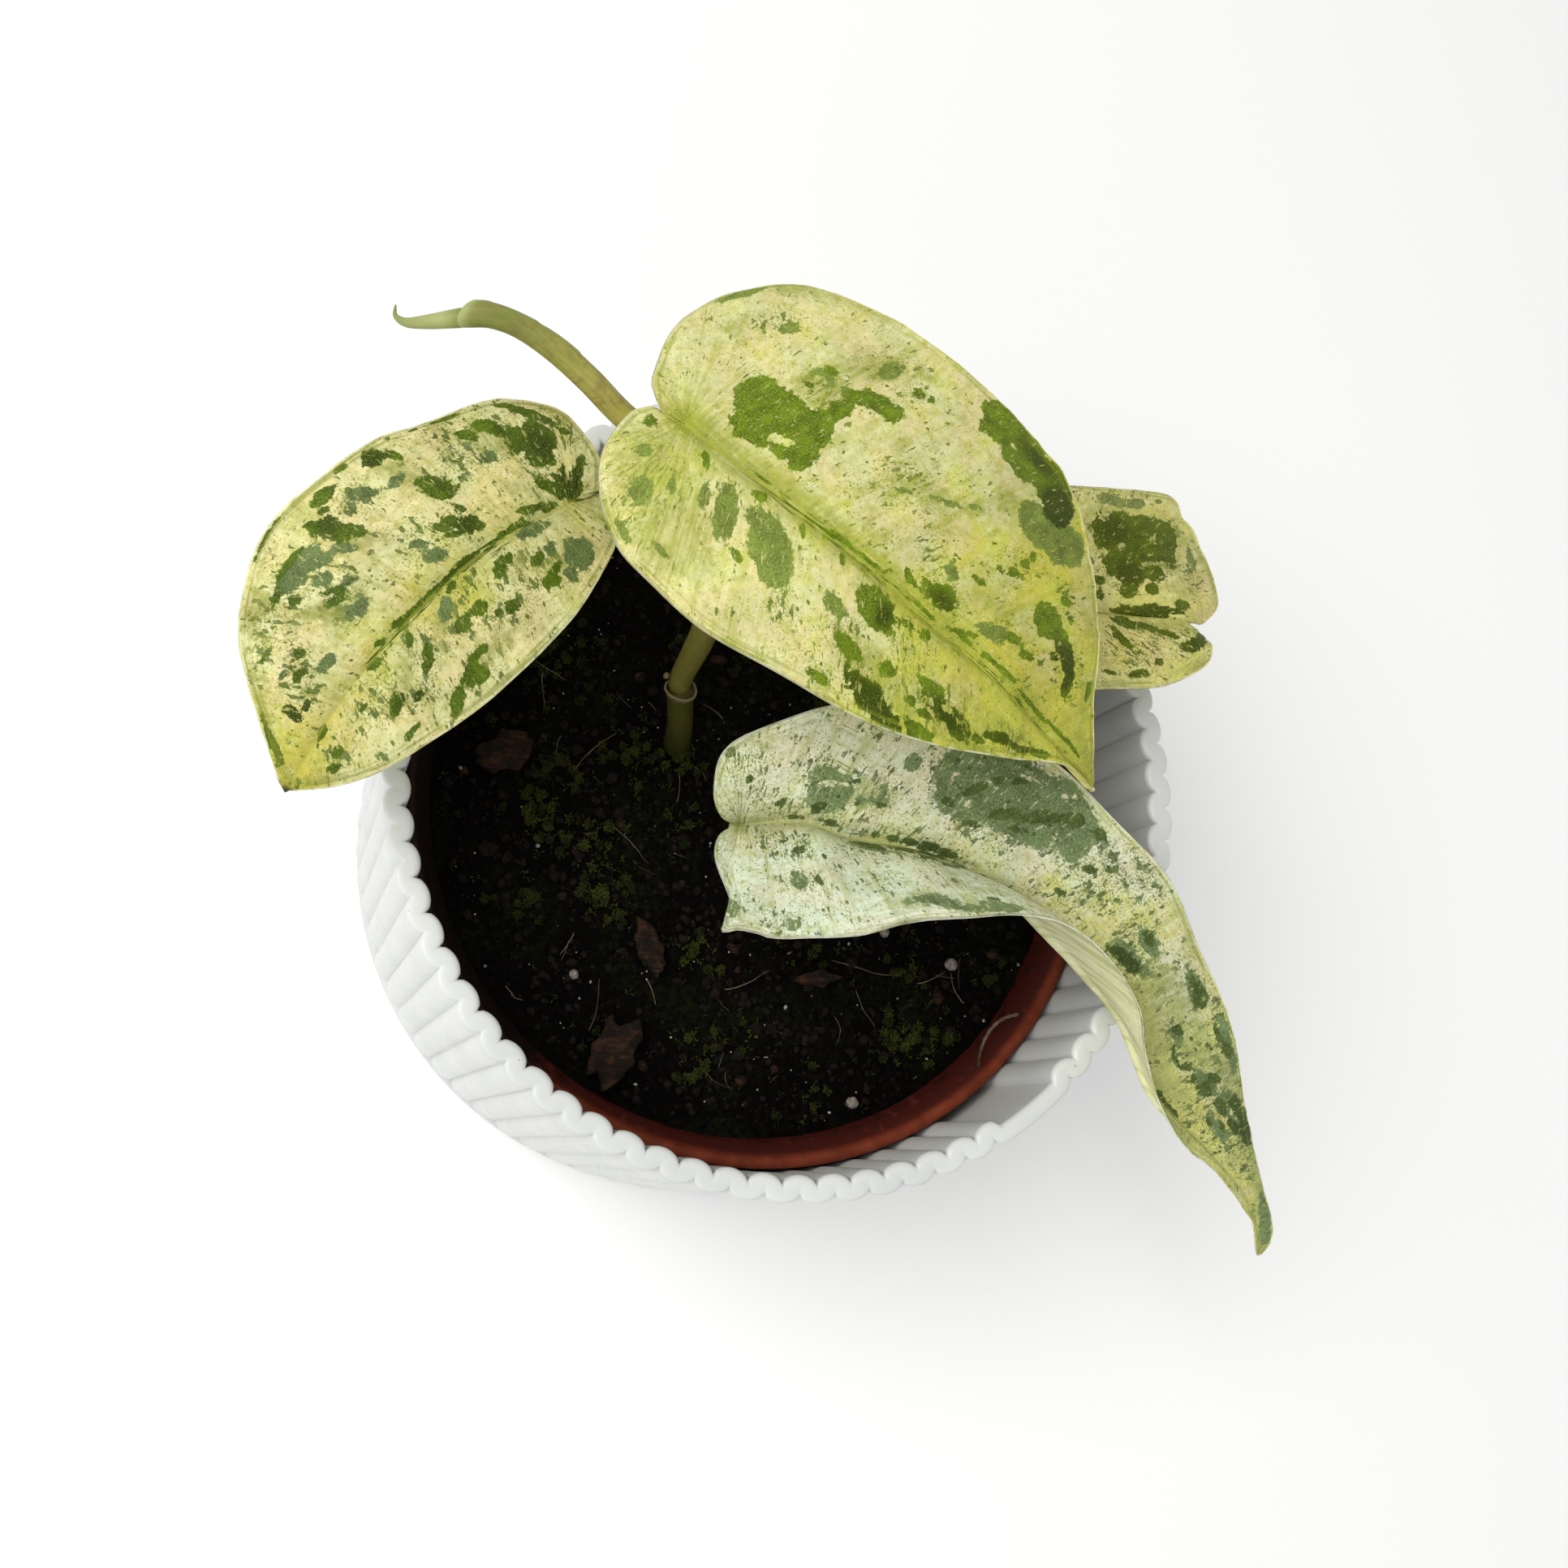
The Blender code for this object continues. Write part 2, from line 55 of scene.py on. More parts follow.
def node_box(name):
    """A CAD node's lowest and highest corners in millimetres."""
    low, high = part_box(name)
    return np.array(low) / MM, np.array(high) / MM


NURSERY_LOW, NURSERY_HIGH = node_box("nursery_pot")
SOIL_LOW, SOIL_HIGH = node_box("soil")
RIM = node_box("cachepot")[1][2]


# ---------------------------------------------------------------- camera, lights, floor

CAMERA_PLACE = (-92.1, -66.6, 361.5)
CAMERA_RIGHT = (0.9539, 0.0, 0.3000)
CAMERA_AHEAD = (0.2929, 0.2163, -0.9314)
FOCAL_LENGTH = 44.7
FLOOR_HALF = 1.6          # metres


def build_camera():
    """Above the pot's left front, looking down past the leaves, with a slight roll."""
    right, ahead = Vector(CAMERA_RIGHT), Vector(CAMERA_AHEAD)
    up = right.cross(ahead)
    data = bpy.data.cameras.new("camera")
    data.sensor_width = 36
    data.lens = FOCAL_LENGTH
    data.clip_start = 0.01
    camera = bpy.data.objects.new("camera", data)
    bpy.context.scene.collection.objects.link(camera)
    turn = Matrix((right, up, -ahead)).transposed().to_4x4()
    camera.matrix_world = Matrix.Translation(Vector(CAMERA_PLACE) * MM) @ turn
    bpy.context.scene.camera = camera


def area_light(name, place, size, power, colour):
    data = bpy.data.lights.new(name, "AREA")
    data.shape = "DISK"
    data.size = size
    data.energy = power
    data.color = colour
    light = bpy.data.objects.new(name, data)
    light.location = place
    light.rotation_euler = (-Vector(place)).to_track_quat("-Z", "Y").to_euler()
    bpy.context.scene.collection.objects.link(light)


def white_to_sight(tree):
    """1 for rays from the camera, a glossy surface or a see-through one, and 0 for the rest."""
    path = tree.nodes.new("ShaderNodeLightPath")
    seen = path.outputs["Is Camera Ray"]
    for name in ("Is Glossy Ray", "Is Transmission Ray"):
        either = tree.nodes.new("ShaderNodeMath")
        either.operation = "MAXIMUM"
        tree.links.new(seen, either.inputs[0])
        tree.links.new(path.outputs[name], either.inputs[1])
        seen = either.outputs[0]
    return seen


def build_light():
    """One broad lamp high on the left, a weaker one low in front, and an even pale world."""
    area_light("key", (-0.56, 0.06, 0.88), 0.80, 7.4, (1.0, 0.99, 0.95))
    area_light("fill", (-0.30, -0.80, 0.60), 0.7, 1.0, (0.93, 0.97, 1.0))
    world = bpy.data.worlds.new("world")
    bpy.context.scene.world = world
    world.use_nodes = True
    tree = world.node_tree
    background = tree.nodes["Background"]
    strength = tree.nodes.new("ShaderNodeMapRange")
    strength.inputs["To Min"].default_value = 0.52
    strength.inputs["To Max"].default_value = 1.0
    tree.links.new(white_to_sight(tree), strength.inputs["Value"])
    tree.links.new(strength.outputs["Result"], background.inputs["Strength"])
    background.inputs["Color"].default_value = (1, 1, 1, 1)


def build_floor():
    """White paper. It adds a little of its own white to sight, and still takes the shadow."""
    f = Finish("floor_paper")
    f.done(Base_Color=(0.9, 0.9, 0.9), Roughness=0.9, Specular_IOR_Level=0.1,
           Emission_Color=(1, 1, 1), Emission_Strength=f.times(white_to_sight(f.tree), 0.10))
    mesh = bpy.data.meshes.new("floor")
    corners = [(x * FLOOR_HALF, y * FLOOR_HALF, 0) for x, y in ((-1, -1), (1, -1), (1, 1), (-1, 1))]
    mesh.from_pydata(corners, [], [(0, 1, 2, 3)])
    mesh.materials.append(f.material)
    floor = bpy.data.objects.new("floor", mesh)
    bpy.context.scene.collection.objects.link(floor)


# ---------------------------------------------------------------- materials

class Finish:
    """A Principled material and short ways to add the nodes that drive it."""

    def __init__(self, name):
        self.material = bpy.data.materials.new(name)
        self.material.use_nodes = True
        self.tree = self.material.node_tree
        self.shader = self.tree.nodes["Principled BSDF"]

    def node(self, kind, *links, **settings):
        """Add a node. Links go to its inputs in order; None leaves an input alone."""
        item = self.tree.nodes.new("ShaderNode" + kind)
        for key, value in settings.items():
            setattr(item, key, value)
        for socket, value in zip(item.inputs, links):
            self.put(socket, value)
        return item

    def put(self, socket, value):
        if value is None:
            return
        if isinstance(value, bpy.types.NodeSocket):
            self.tree.links.new(value, socket)
        elif isinstance(value, tuple) and len(value) == 3 and socket.type == "RGBA":
            socket.default_value = (*value, 1)
        else:
            socket.default_value = value

    def math(self, operation, a, b=None, c=None):
        return self.node("Math", a, b, c, operation=operation).outputs[0]

    def times(self, a, b):
        return self.math("MULTIPLY", a, b)

    def plus(self, a, b):
        return self.math("ADD", a, b)

    def larger(self, a, b):
        return self.math("MAXIMUM", a, b)

    def linear(self, value, slope, start):
        """value * slope + start"""
        return self.math("MULTIPLY_ADD", value, slope, start)

    def uv(self, name, scale=(1, 1, 1)):
        flat = self.node("UVMap", uv_map=name).outputs[0]
        return self.scaled(flat, scale)

    def place(self, scale=(1, 1, 1)):
        """Object coordinates, in units of a millimetre over the scale."""
        spot = self.node("TexCoord").outputs["Object"]
        return self.scaled(spot, tuple(1 / MM * s for s in scale))

    def scaled(self, vector, scale):
        return self.node("Mapping", vector, None, None, scale, vector_type="POINT").outputs[0]

    def value(self, name):
        """A number stored on the mesh's points."""
        return self.node("Attribute", attribute_name=name).outputs["Fac"]

    def noise(self, vector, scale=1.0, detail=2.0, roughness=0.5, distortion=0.0):
        item = self.node("TexNoise")
        self.put(item.inputs["Vector"], vector)
        self.put(item.inputs["Scale"], scale)
        self.put(item.inputs["Detail"], detail)
        self.put(item.inputs["Roughness"], roughness)
        self.put(item.inputs["Distortion"], distortion)
        return item.outputs["Fac"]

    def drawn(self, vector, along, across, detail, roughness=0.5, distortion=0.0):
        """Noise with its own scale along a flat place and across it."""
        return self.noise(self.scaled(vector, (along, across, 1)), 1.0, detail, roughness, distortion)

    def step(self, value, low, high):
        """0 below low, 1 above high, and smooth between; low above high turns it round."""
        item = self.node("MapRange", interpolation_type="SMOOTHSTEP")
        flip = low > high
        self.put(item.inputs["Value"], value)
        self.put(item.inputs["From Min"], min(low, high))
        self.put(item.inputs["From Max"], max(low, high))
        self.put(item.inputs["To Min"], 1.0 if flip else 0.0)
        self.put(item.inputs["To Max"], 0.0 if flip else 1.0)
        return item.outputs["Result"]

    def dots(self, vector, scale, density, size):
        """Round dots in a share "density" of scattered cells, and a random number for each cell."""
        cell = self.node("TexVoronoi")
        self.put(cell.inputs["Vector"], vector)
        self.put(cell.inputs["Scale"], scale)
        chance = self.node("SeparateColor", cell.outputs["Color"])
        radius = self.linear(chance.outputs[1], size, 0.5 * size)
        inside = self.step(self.math("SUBTRACT", radius, cell.outputs["Distance"]), -0.04, 0.04)
        alive = self.math("LESS_THAN", chance.outputs[0], density)
        return self.times(inside, alive), chance.outputs[2]

    def blend(self, share, a, b, kind="MIX"):
        item = self.node("Mix", data_type="RGBA", blend_type=kind)
        self.put(item.inputs["Factor"], share)
        self.put(item.inputs[6], a)
        self.put(item.inputs[7], b)
        return item.outputs[2]

    def paint(self, colour, share, strength, over):
        """Cover a colour with another, where share is high and as thickly as strength says."""
        return self.blend(self.times(share, strength), colour, over)

    def bump(self, height, distance, normal=None):
        """A bump whose height of 1 stands distance millimetres proud."""
        item = self.node("Bump")
        self.put(item.inputs["Height"], height)
        self.put(item.inputs["Distance"], distance * MM)
        self.put(item.inputs["Normal"], normal)
        return item.outputs[0]

    def done(self, **inputs):
        for key, value in inputs.items():
            self.put(self.shader.inputs[key.replace("_", " ")], value)
        return self.material


def tint(colour, share):
    return tuple(min(1.0, share * c) for c in colour)


def mix(a, b, share):
    return tuple((1 - share) * x + share * y for x, y in zip(a, b))


GREEN_GLOW = (0.8, 1.0, 0.3)          # how far each colour of light goes inside a leaf or a stalk


def plastic_finish():
    """Semi-gloss white plastic, a little translucent, with fine handling marks."""
    f = Finish("white_plastic")
    spot = f.place()
    cloudy = f.noise(spot, 0.06, 3)
    colour = f.blend(f.step(cloudy, 0.35, 0.7), (0.69, 0.705, 0.69), (0.64, 0.655, 0.65))
    specks, _ = f.dots(spot, 0.9, 0.010, 0.14)
    colour = f.paint(colour, specks, 0.45, (0.24, 0.19, 0.14))
    gloss = f.node("MapRange", f.noise(spot, 0.25, 4), 0.3, 0.7, 0.27, 0.38).outputs[0]
    fine = f.bump(f.noise(spot, 2.2, 2), 0.012)
    return f.done(Base_Color=colour, Roughness=gloss, Normal=fine, IOR=1.46,
                  Subsurface_Weight=0.12, Subsurface_Radius=(1.0, 0.95, 0.9), Subsurface_Scale=1.6 * MM)


def terracotta_finish():
    """Thin matte red-brown plastic: flow marks on the lip, a wall inside painted darker for peat and for
    painted shade, and a left side painted near black for painted shade and peat.
    """
    f = Finish("terracotta_plastic")
    spot = f.place()
    flow = f.noise(f.place((1, 1, 0.06)), 0.35, 3)
    colour = f.blend(f.step(flow, 0.3, 0.75), (0.12, 0.021, 0.009), (0.19, 0.037, 0.016))
    axes = f.node("SeparateXYZ", spot)
    height = axes.outputs[2]
    # The wall inside is painted darker: partly peat that has dulled it, partly painted shade in the pot.
    inside = f.times(f.value("inside"), f.step(height, NURSERY_HIGH[2] - 0.3, NURSERY_HIGH[2] - 1.6))
    marks = f.step(f.noise(f.place((1, 1, 0.03)), 0.5, 2), 0.60, 0.72)
    dulled_and_shaded_wall = f.paint((0.050, 0.008, 0.006), marks, 0.6, (0.11, 0.024, 0.015))
    colour = f.blend(inside, colour, dulled_and_shaded_wall)
    dirt = f.step(f.noise(spot, 0.5, 5, 0.65), 0.50, 0.64)
    low = f.step(height, NURSERY_HIGH[2] - 1.2, NURSERY_HIGH[2] - 5.5)
    splash = f.times(dirt, f.times(low, f.value("inside")))
    colour = f.paint(colour, splash, 0.9, (0.010, 0.006, 0.004))
    dust = f.times(f.step(f.noise(spot, 1.1, 4, 0.7), 0.60, 0.70), 0.35)
    colour = f.blend(dust, colour, (0.05, 0.022, 0.014))
    # The pot's left side is painted near black with a ragged edge: painted shade under the cachepot's rim,
    # with peat on the lip.
    ragged = f.linear(f.noise(spot, 0.35, 5, 0.7), 26.0, axes.outputs[0])
    colour = f.paint(colour, f.step(ragged, -19.0, -25.0), 0.94, (0.004, 0.003, 0.002))
    fine = f.bump(f.noise(spot, 1.6, 3), 0.03)
    return f.done(Base_Color=colour, Roughness=0.48, Normal=fine, Specular_IOR_Level=0.12)


def soil_finish():
    """Damp peat: near black, with brown crumbs and a green film of algae."""
    f = Finish("soil")
    spot = f.place()
    crumbs = f.noise(spot, 0.8, 6, 0.7)
    colour = f.blend(f.step(crumbs, 0.45, 0.75), (0.0010, 0.0007, 0.0006), (0.0085, 0.0050, 0.0036))
    film = f.step(f.noise(spot, 0.075, 4, 0.6), 0.46, 0.60)
    patchy = f.step(f.noise(spot, 0.9, 4, 0.6), 0.42, 0.62)
    green = f.blend(f.noise(spot, 0.4, 2), (0.002, 0.0035, 0.0008), (0.008, 0.011, 0.002))
    colour = f.paint(colour, film, patchy, green)
    fine = f.bump(f.noise(spot, 2.5, 6, 0.7), 0.35)
    return f.done(Base_Color=colour, Roughness=0.85, Normal=fine, Specular_IOR_Level=0.05)


def moss_finish(dark, bright):
    """Moss: "tip" is 1 at the ends of its leaves, and "lush" where it grows in bright cushions."""
    f = Finish("moss")
    spot = f.place()
    patch = f.step(f.noise(spot, 0.22, 3), 0.35, 0.66)
    lush = f.times(f.value("lush"), f.step(f.noise(spot, 0.5, 3), 0.36, 0.62))
    low = f.blend(patch, tint(dark, 0.5), dark)
    high = f.blend(lush, f.blend(patch, tint(dark, 1.6), mix(dark, bright, 0.35)), bright)
    tip = f.value("tip")
    colour = f.paint(low, tip, tip, high)
    brown = f.step(f.noise(spot, 0.30, 2), 0.60, 0.68)
    colour = f.paint(colour, brown, 0.5, (0.022, 0.012, 0.004))
    fine = f.bump(f.noise(spot, 3.0, 2), 0.05)
    return f.done(Base_Color=colour, Roughness=0.75, Normal=fine, Specular_IOR_Level=0.08)


def grain_finish(name, dark, pale, scale, roughness, relief):
    """A crumbly natural surface: two colours mixed by fine noise, with a matching bump."""
    f = Finish(name)
    spot = f.place()
    rough = f.noise(spot, scale, 6, 0.65)
    colour = f.blend(f.step(rough, 0.35, 0.68), dark, pale)
    fine = f.bump(rough, relief)
    return f.done(Base_Color=colour, Roughness=roughness, Normal=fine, Specular_IOR_Level=0.15)


def bark_finish():
    """Reddish-brown bark with long fibres and dark cracks."""
    f = Finish("bark")
    fibre = f.noise(f.place((0.25, 1.6, 1.6)), 1.0, 5, 0.6)
    colour = f.blend(f.step(fibre, 0.3, 0.7), (0.006, 0.003, 0.002), (0.050, 0.021, 0.010))
    peat = f.step(f.noise(f.place(), 0.45, 5, 0.65), 0.42, 0.56)
    colour = f.paint(colour, peat, 0.85, (0.004, 0.004, 0.002))
    return f.done(Base_Color=colour, Roughness=0.85, Normal=f.bump(fibre, 0.35), Specular_IOR_Level=0.15)


def stalk_finish(name, low, high, blush, scar=(0.20, 0.155, 0.075)):
    """A smooth green stalk, streaked along its length. The mesh's value "along" runs from its foot to its
    end, and "ring" is 1 on a scar."""
    f = Finish(name)
    streak = f.noise(f.uv("stalk", (0.35, 2.6, 1)), 1.0, 4, 0.6)
    along = f.plus(f.value("along"), f.times(f.math("SUBTRACT", streak, 0.5), 0.5))
    colour = f.blend(f.step(along, 0.1, 0.9), low, high)
    colour = f.paint(colour, f.step(streak, 0.55, 0.75), 0.45, blush)
    stains = f.step(f.noise(f.uv("stalk", (0.45, 0.5, 1)), 1.0, 4, 0.6), 0.46, 0.66)
    colour = f.paint(colour, stains, 0.55, blush)
    specks = f.step(f.noise(f.uv("stalk", (1.2, 2.4, 1)), 1.0, 2), 0.66, 0.72)
    colour = f.paint(colour, specks, 0.4, tint(blush, 0.45))
    colour = f.blend(f.value("ring"), colour, scar)
    fine = f.bump(streak, 0.06)
    return f.done(Base_Color=colour, Roughness=0.42, Normal=fine, Specular_IOR_Level=0.22,
                  Subsurface_Weight=0.15, Subsurface_Radius=GREEN_GLOW, Subsurface_Scale=0.8 * MM)


def blade_finish(name, cream, yellow, dark, grey, fleck, pepper, haze, lines, pale, core):
    """A variegated blade.

    The mesh carries the blotches as distances in millimetres, positive inside: "dark",
    "grey" and "soft". The dark ones are deeper where "shade" is positive, and flecks are thick where
    "crowd" is. Noise in the flattened blade's own coordinates makes their edges uneven.
    "edge" is the distance to the margin and "mid" to the midrib. "heart" is highest at the notch,
    "warm" turns the cream yellow, "green" and "streak" strengthen the midrib's marks, "cool" marks the
    part whose cream is minty, "brown" the dry tip, and "under" is 1 on the lower face.
    The map "blade" holds the flat place and "rib" the place along the side veins, in millimetres.
    """
    f = Finish(name)
    flat = f.uv("blade")
    rib = f.uv("rib")
    combed = f.drawn(rib, 0.9, 0.27, 3, 0.55)
    lobes = f.noise(flat, 0.36, 2, 0.5)
    knobs = f.noise(flat, 1.3, 1.5, 0.45)
    grain = f.noise(flat, 3.4, 3, 0.6)
    broad = f.noise(flat, 0.10, 3, 0.55)
    crowd = f.noise(flat, 0.24, 3, 0.6)
    olive = mix(yellow, dark, 0.55)
    leafy = mix(yellow, grey, 0.55)

    def centred(value, reach):
        return f.linear(value, reach, -0.5 * reach)

    wander = f.plus(centred(lobes, 3.0), f.plus(centred(combed, 2.8), centred(knobs, 2.0)))

    def blotch(kind, reach, sharp):
        field = f.linear(wander, reach, f.value(kind))
        return f.step(f.plus(field, centred(grain, 1.1)), -sharp, sharp)

    # Ground: cream, turning yellow towards the midrib and the tip, with cloudy patches.
    warm = f.plus(f.value("warm"), f.plus(centred(broad, 2.6), centred(combed, 1.3)))
    ground = f.blend(f.step(warm, -0.1, 1.1), cream, yellow)
    ground = f.blend(f.value("cool"), ground, mix(cream, (0.70, 0.79, 0.68), 0.7))
    flush = f.step(f.noise(flat, 0.13, 3, 0.6), 0.42, 0.60)
    ground = f.blend(1.0, ground, f.blend(flush, (0.98, 1.01, 1.0), (1.03, 0.96, 0.93)), "MULTIPLY")
    cloud = f.step(f.noise(flat, 0.55, 5, 0.7), 0.46, 0.66)
    ground = f.paint(ground, cloud, 0.45 + haze, mix(yellow, dark, 0.16 + 0.4 * haze))
    veil = f.step(f.drawn(rib, 0.55, 0.10, 4, 0.6), 0.50, 0.72)
    ground = f.paint(ground, veil, 0.15 + haze, leafy)
    bleach = f.step(f.noise(f.scaled(flat, (1, 1.2, 1)), 0.9, 4, 0.7), 0.52, 0.68)
    ground = f.paint(ground, bleach, 0.55, tint(mix(cream, yellow, 0.25), 1.09))
    ground = f.paint(ground, f.step(grain, 0.54, 0.70), 0.34, tint(olive, 1.7))

    # The heart of the blade and the midrib: green rays and long strokes.
    rays = f.step(f.drawn(rib, 2.2, 0.12, 3, 0.5), 0.42, 0.62)
    heart = f.value("heart")
    rayed = f.larger(f.times(rays, heart), f.step(heart, 0.9, 1.6))
    colour = f.blend(rayed, ground, mix(yellow, dark, 0.55))
    mid = f.value("mid")
    strokes = f.drawn(rib, 0.16, 1.5, 3, 0.6)
    along_mid = f.times(f.step(mid, 4.5, 0.5), f.value("green"))
    colour = f.paint(colour, along_mid, f.step(strokes, 0.24, 0.54), mix(yellow, dark, 0.66))

    # Side veins: soft bands and thin lines that come and go.
    bands = f.drawn(rib, 0.60, 0.035, 3, 0.55, 0.5)
    colour = f.paint(colour, f.step(bands, 0.53, 0.66), lines, mix(yellow, dark, 0.28))
    threads = f.drawn(rib, 1.9, 0.06, 3, 0.55, 0.4)
    threads = f.times(f.step(threads, 0.585, 0.635), f.step(crowd, 0.40, 0.62))
    colour = f.paint(colour, threads, lines, olive)

    # Fine specks, thick in some places, and small ragged flecks drawn out along the side veins.
    near = f.step(f.linear(wander, 0.8, f.value("crowd")), -1.2, 1.4)
    thick = f.plus(centred(crowd, 0.30), f.times(near, 0.080))
    shade = f.linear(lobes, 0.30, f.linear(combed, 0.30, f.times(grain, 0.6)))
    deep = f.blend(f.step(shade, 0.48, 0.74), tint(dark, 0.62), tint(dark, 1.50))
    deepest = f.step(f.linear(wander, 0.4, f.value("shade")), -0.8, 1.6)
    deep = f.blend(deepest, deep, tint(dark, core))
    grey_tone = f.blend(f.step(shade, 0.48, 0.74), tint(grey, 0.70), tint(grey, 1.40))
    fine = f.step(f.plus(f.noise(flat, 2.7, 2, 0.55), thick), 0.60, 0.66)
    colour = f.paint(colour, fine, pepper, mix(olive, dark, 0.45))
    chips = f.plus(f.drawn(rib, 3.2, 1.1, 2, 0.5), f.times(thick, 0.7))
    chips = f.step(chips, 0.678 - 0.05 * fleck, 0.71 - 0.05 * fleck)
    colour = f.paint(colour, chips, 0.52, mix(olive, dark, 0.60))
    ragged = f.plus(f.drawn(rib, 1.45, 0.46, 2.5, 0.55), centred(grain, 0.06))
    ragged = f.step(f.plus(ragged, thick), 0.694 - 0.10 * fleck, 0.716 - 0.10 * fleck)
    colour = f.paint(colour, ragged, 0.85, f.blend(f.step(knobs, 0.42, 0.56), grey_tone, deep))

    # Blotches, from the faintest to the darkest, with pale scratches and pits left in them.
    comb = f.step(f.drawn(rib, 1.7, 0.15, 3, 0.6), 0.38, 0.62)
    soft = f.times(blotch("soft", 1.1, 1.0), f.linear(comb, 0.42, 0.34))
    colour = f.blend(soft, colour, leafy)
    scratch = f.step(f.drawn(rib, 2.5, 0.45, 3, 0.6), 0.615 - 0.04 * pale, 0.69 - 0.04 * pale)
    pits = f.step(f.noise(flat, 1.7, 4, 0.65), 0.66 - 0.06 * pale, 0.74 - 0.06 * pale)
    grit = f.times(f.step(f.noise(flat, 5.5, 2, 0.5), 0.56, 0.66), 0.40)
    hold = f.linear(f.larger(grit, f.larger(scratch, pits)), -0.70, 1.0)
    colour = f.paint(colour, blotch("grey", 0.55, 0.14), hold, grey_tone)
    colour = f.paint(colour, blotch("dark", 0.60, 0.10), hold, deep)

    # Round dots in clusters near the blotches.
    density = f.linear(near, 0.30, f.linear(f.step(crowd, 0.50, 0.64), 0.16, 0.04))
    speck, chance = f.dots(f.scaled(rib, (1.25, 0.85, 1)), 1.35, density, 0.26)
    colour = f.paint(colour, speck, f.linear(chance, 0.6, 0.30), deep)
    dot, _ = f.dots(f.scaled(flat, (1.1, 0.9, 1)), 2.4, density, 0.26)
    colour = f.paint(colour, dot, 0.60, tint(dark, 0.8))

    # Midrib: a pale line, broken dark strokes in it and beside it.
    colour = f.paint(colour, f.step(mid, 0.5, 0.1), 0.5, mix(yellow, dark, 0.35))
    lane = f.drawn(rib, 0.20, 2.0, 3, 0.6)
    beside = f.times(f.step(mid, 1.9, 0.1), f.value("streak"))
    stroke = f.step(f.linear(beside, 0.14, lane), 0.64, 0.69)
    colour = f.paint(colour, stroke, f.step(beside, 0.02, 0.2), deep)

    # Margin: a pale rim, and long thin lines that run beside it.
    run = f.node("SeparateXYZ", rib).outputs[0]
    beside_edge = f.node("CombineXYZ", f.times(run, 0.10), f.times(f.value("edge"), 1.7), 0.0)
    border = f.step(f.noise(beside_edge.outputs[0], 1.0, 3, 0.6), 0.48, 0.58)
    border = f.times(border, f.step(f.value("edge"), 2.6, 0.5))
    colour = f.paint(colour, border, 0.60, mix(olive, dark, 0.35))
    rim = f.times(f.step(f.value("edge"), 0.34, 0.08), f.step(lobes, 0.30, 0.60))
    colour = f.blend(rim, colour, mix(cream, (1, 1, 1), 0.20))

    # Unevenness over everything, broad and fine.
    tone = f.linear(broad, 0.5, f.times(f.noise(flat, 0.85, 5, 0.7), 0.5))
    shading = f.blend(f.step(tone, 0.38, 0.62), (0.86, 0.88, 0.80), (1.10, 1.13, 1.12))
    colour = f.blend(1.0, colour, shading, "MULTIPLY")

    # The lower face is the same pattern, paler and duller.
    under = f.value("under")
    washed = f.blend(0.66, colour, tint(mix(cream, yellow, 0.42), 1.28))
    washed = f.paint(washed, f.step(bands, 0.44, 0.60), 0.52, mix(yellow, dark, 0.30))
    colour = f.blend(under, colour, washed)
    browned = f.times(f.value("brown"), f.step(lobes, 0.30, 0.42))
    colour = f.blend(browned, colour, (0.030, 0.016, 0.009))

    quilt = f.bump(bands, 0.16)
    skin = f.bump(grain, 0.035, quilt)
    gloss = f.node("MapRange", lobes, 0.3, 0.7, 0.38, 0.50).outputs[0]
    gloss = f.linear(under, 0.16, gloss)
    return f.done(Base_Color=colour, Roughness=gloss, Normal=skin, Specular_IOR_Level=0.065,
                  Subsurface_Weight=0.05, Subsurface_Radius=GREEN_GLOW, Subsurface_Scale=0.7 * MM)


# ---------------------------------------------------------------- mesh helpers

CURVE_STEPS = 16          # fine steps between two given points of a curve


def make_piece(name, points, faces, finish, replaced, uvs=None, values=None):
    """A smooth mesh piece from millimetre points; UVs and values are given for each point."""
    mesh = bpy.data.meshes.new(name)
    points = np.asarray(points, float) * MM
    mesh.from_pydata(points.tolist(), [], [tuple(int(i) for i in face) for face in faces])
    mesh.shade_smooth()
    corners = np.zeros(len(mesh.loops), int)
    mesh.loops.foreach_get("vertex_index", corners)
    for uv_name, uv in (uvs or {}).items():
        layer = mesh.uv_layers.new(name=uv_name)
        layer.data.foreach_set("uv", np.asarray(uv, np.float32)[corners].ravel())
    for value_name, value in (values or {}).items():
        attribute = mesh.attributes.new(value_name, "FLOAT", "POINT")
        attribute.data.foreach_set("value", np.asarray(value, np.float32))
    mesh.materials.append(finish)
    piece = bpy.data.objects.new(name, mesh)
    bpy.context.scene.collection.objects.link(piece)
    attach(piece, "root")
    if replaced:
        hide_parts(*replaced)
    return piece


def smooth_curve(points, count):
    """count + 1 evenly spaced points along a smooth curve through the given points."""
    points = np.asarray(points, float)
    ends = np.vstack([2 * points[0] - points[1], points, 2 * points[-1] - points[-2]])
    t = (np.arange(CURVE_STEPS) / CURVE_STEPS)[:, None]
    fine = []
    for i in range(len(points) - 1):
        a, b, c, d = ends[i:i + 4]
        square = (2 * a - 5 * b + 4 * c - d) * t ** 2
        cube = (3 * b - a - 3 * c + d) * t ** 3
        fine.append(0.5 * (2 * b + (c - a) * t + square + cube))
    fine = np.vstack([*fine, points[-1:]])
    reach = np.r_[0, np.cumsum(np.linalg.norm(np.diff(fine[:, :3], axis=0), axis=1))]
    wanted = np.linspace(0, reach[-1], count + 1)
    return np.stack([np.interp(wanted, reach, fine[:, k]) for k in range(fine.shape[1])], axis=1)


def at_share(curve, share):
    """Points at given shares of an evenly spaced curve."""
    place = np.clip(share, 0, 1) * (len(curve) - 1)
    return np.stack([np.interp(place, np.arange(len(curve)), curve[:, k]) for k in range(3)], axis=-1)


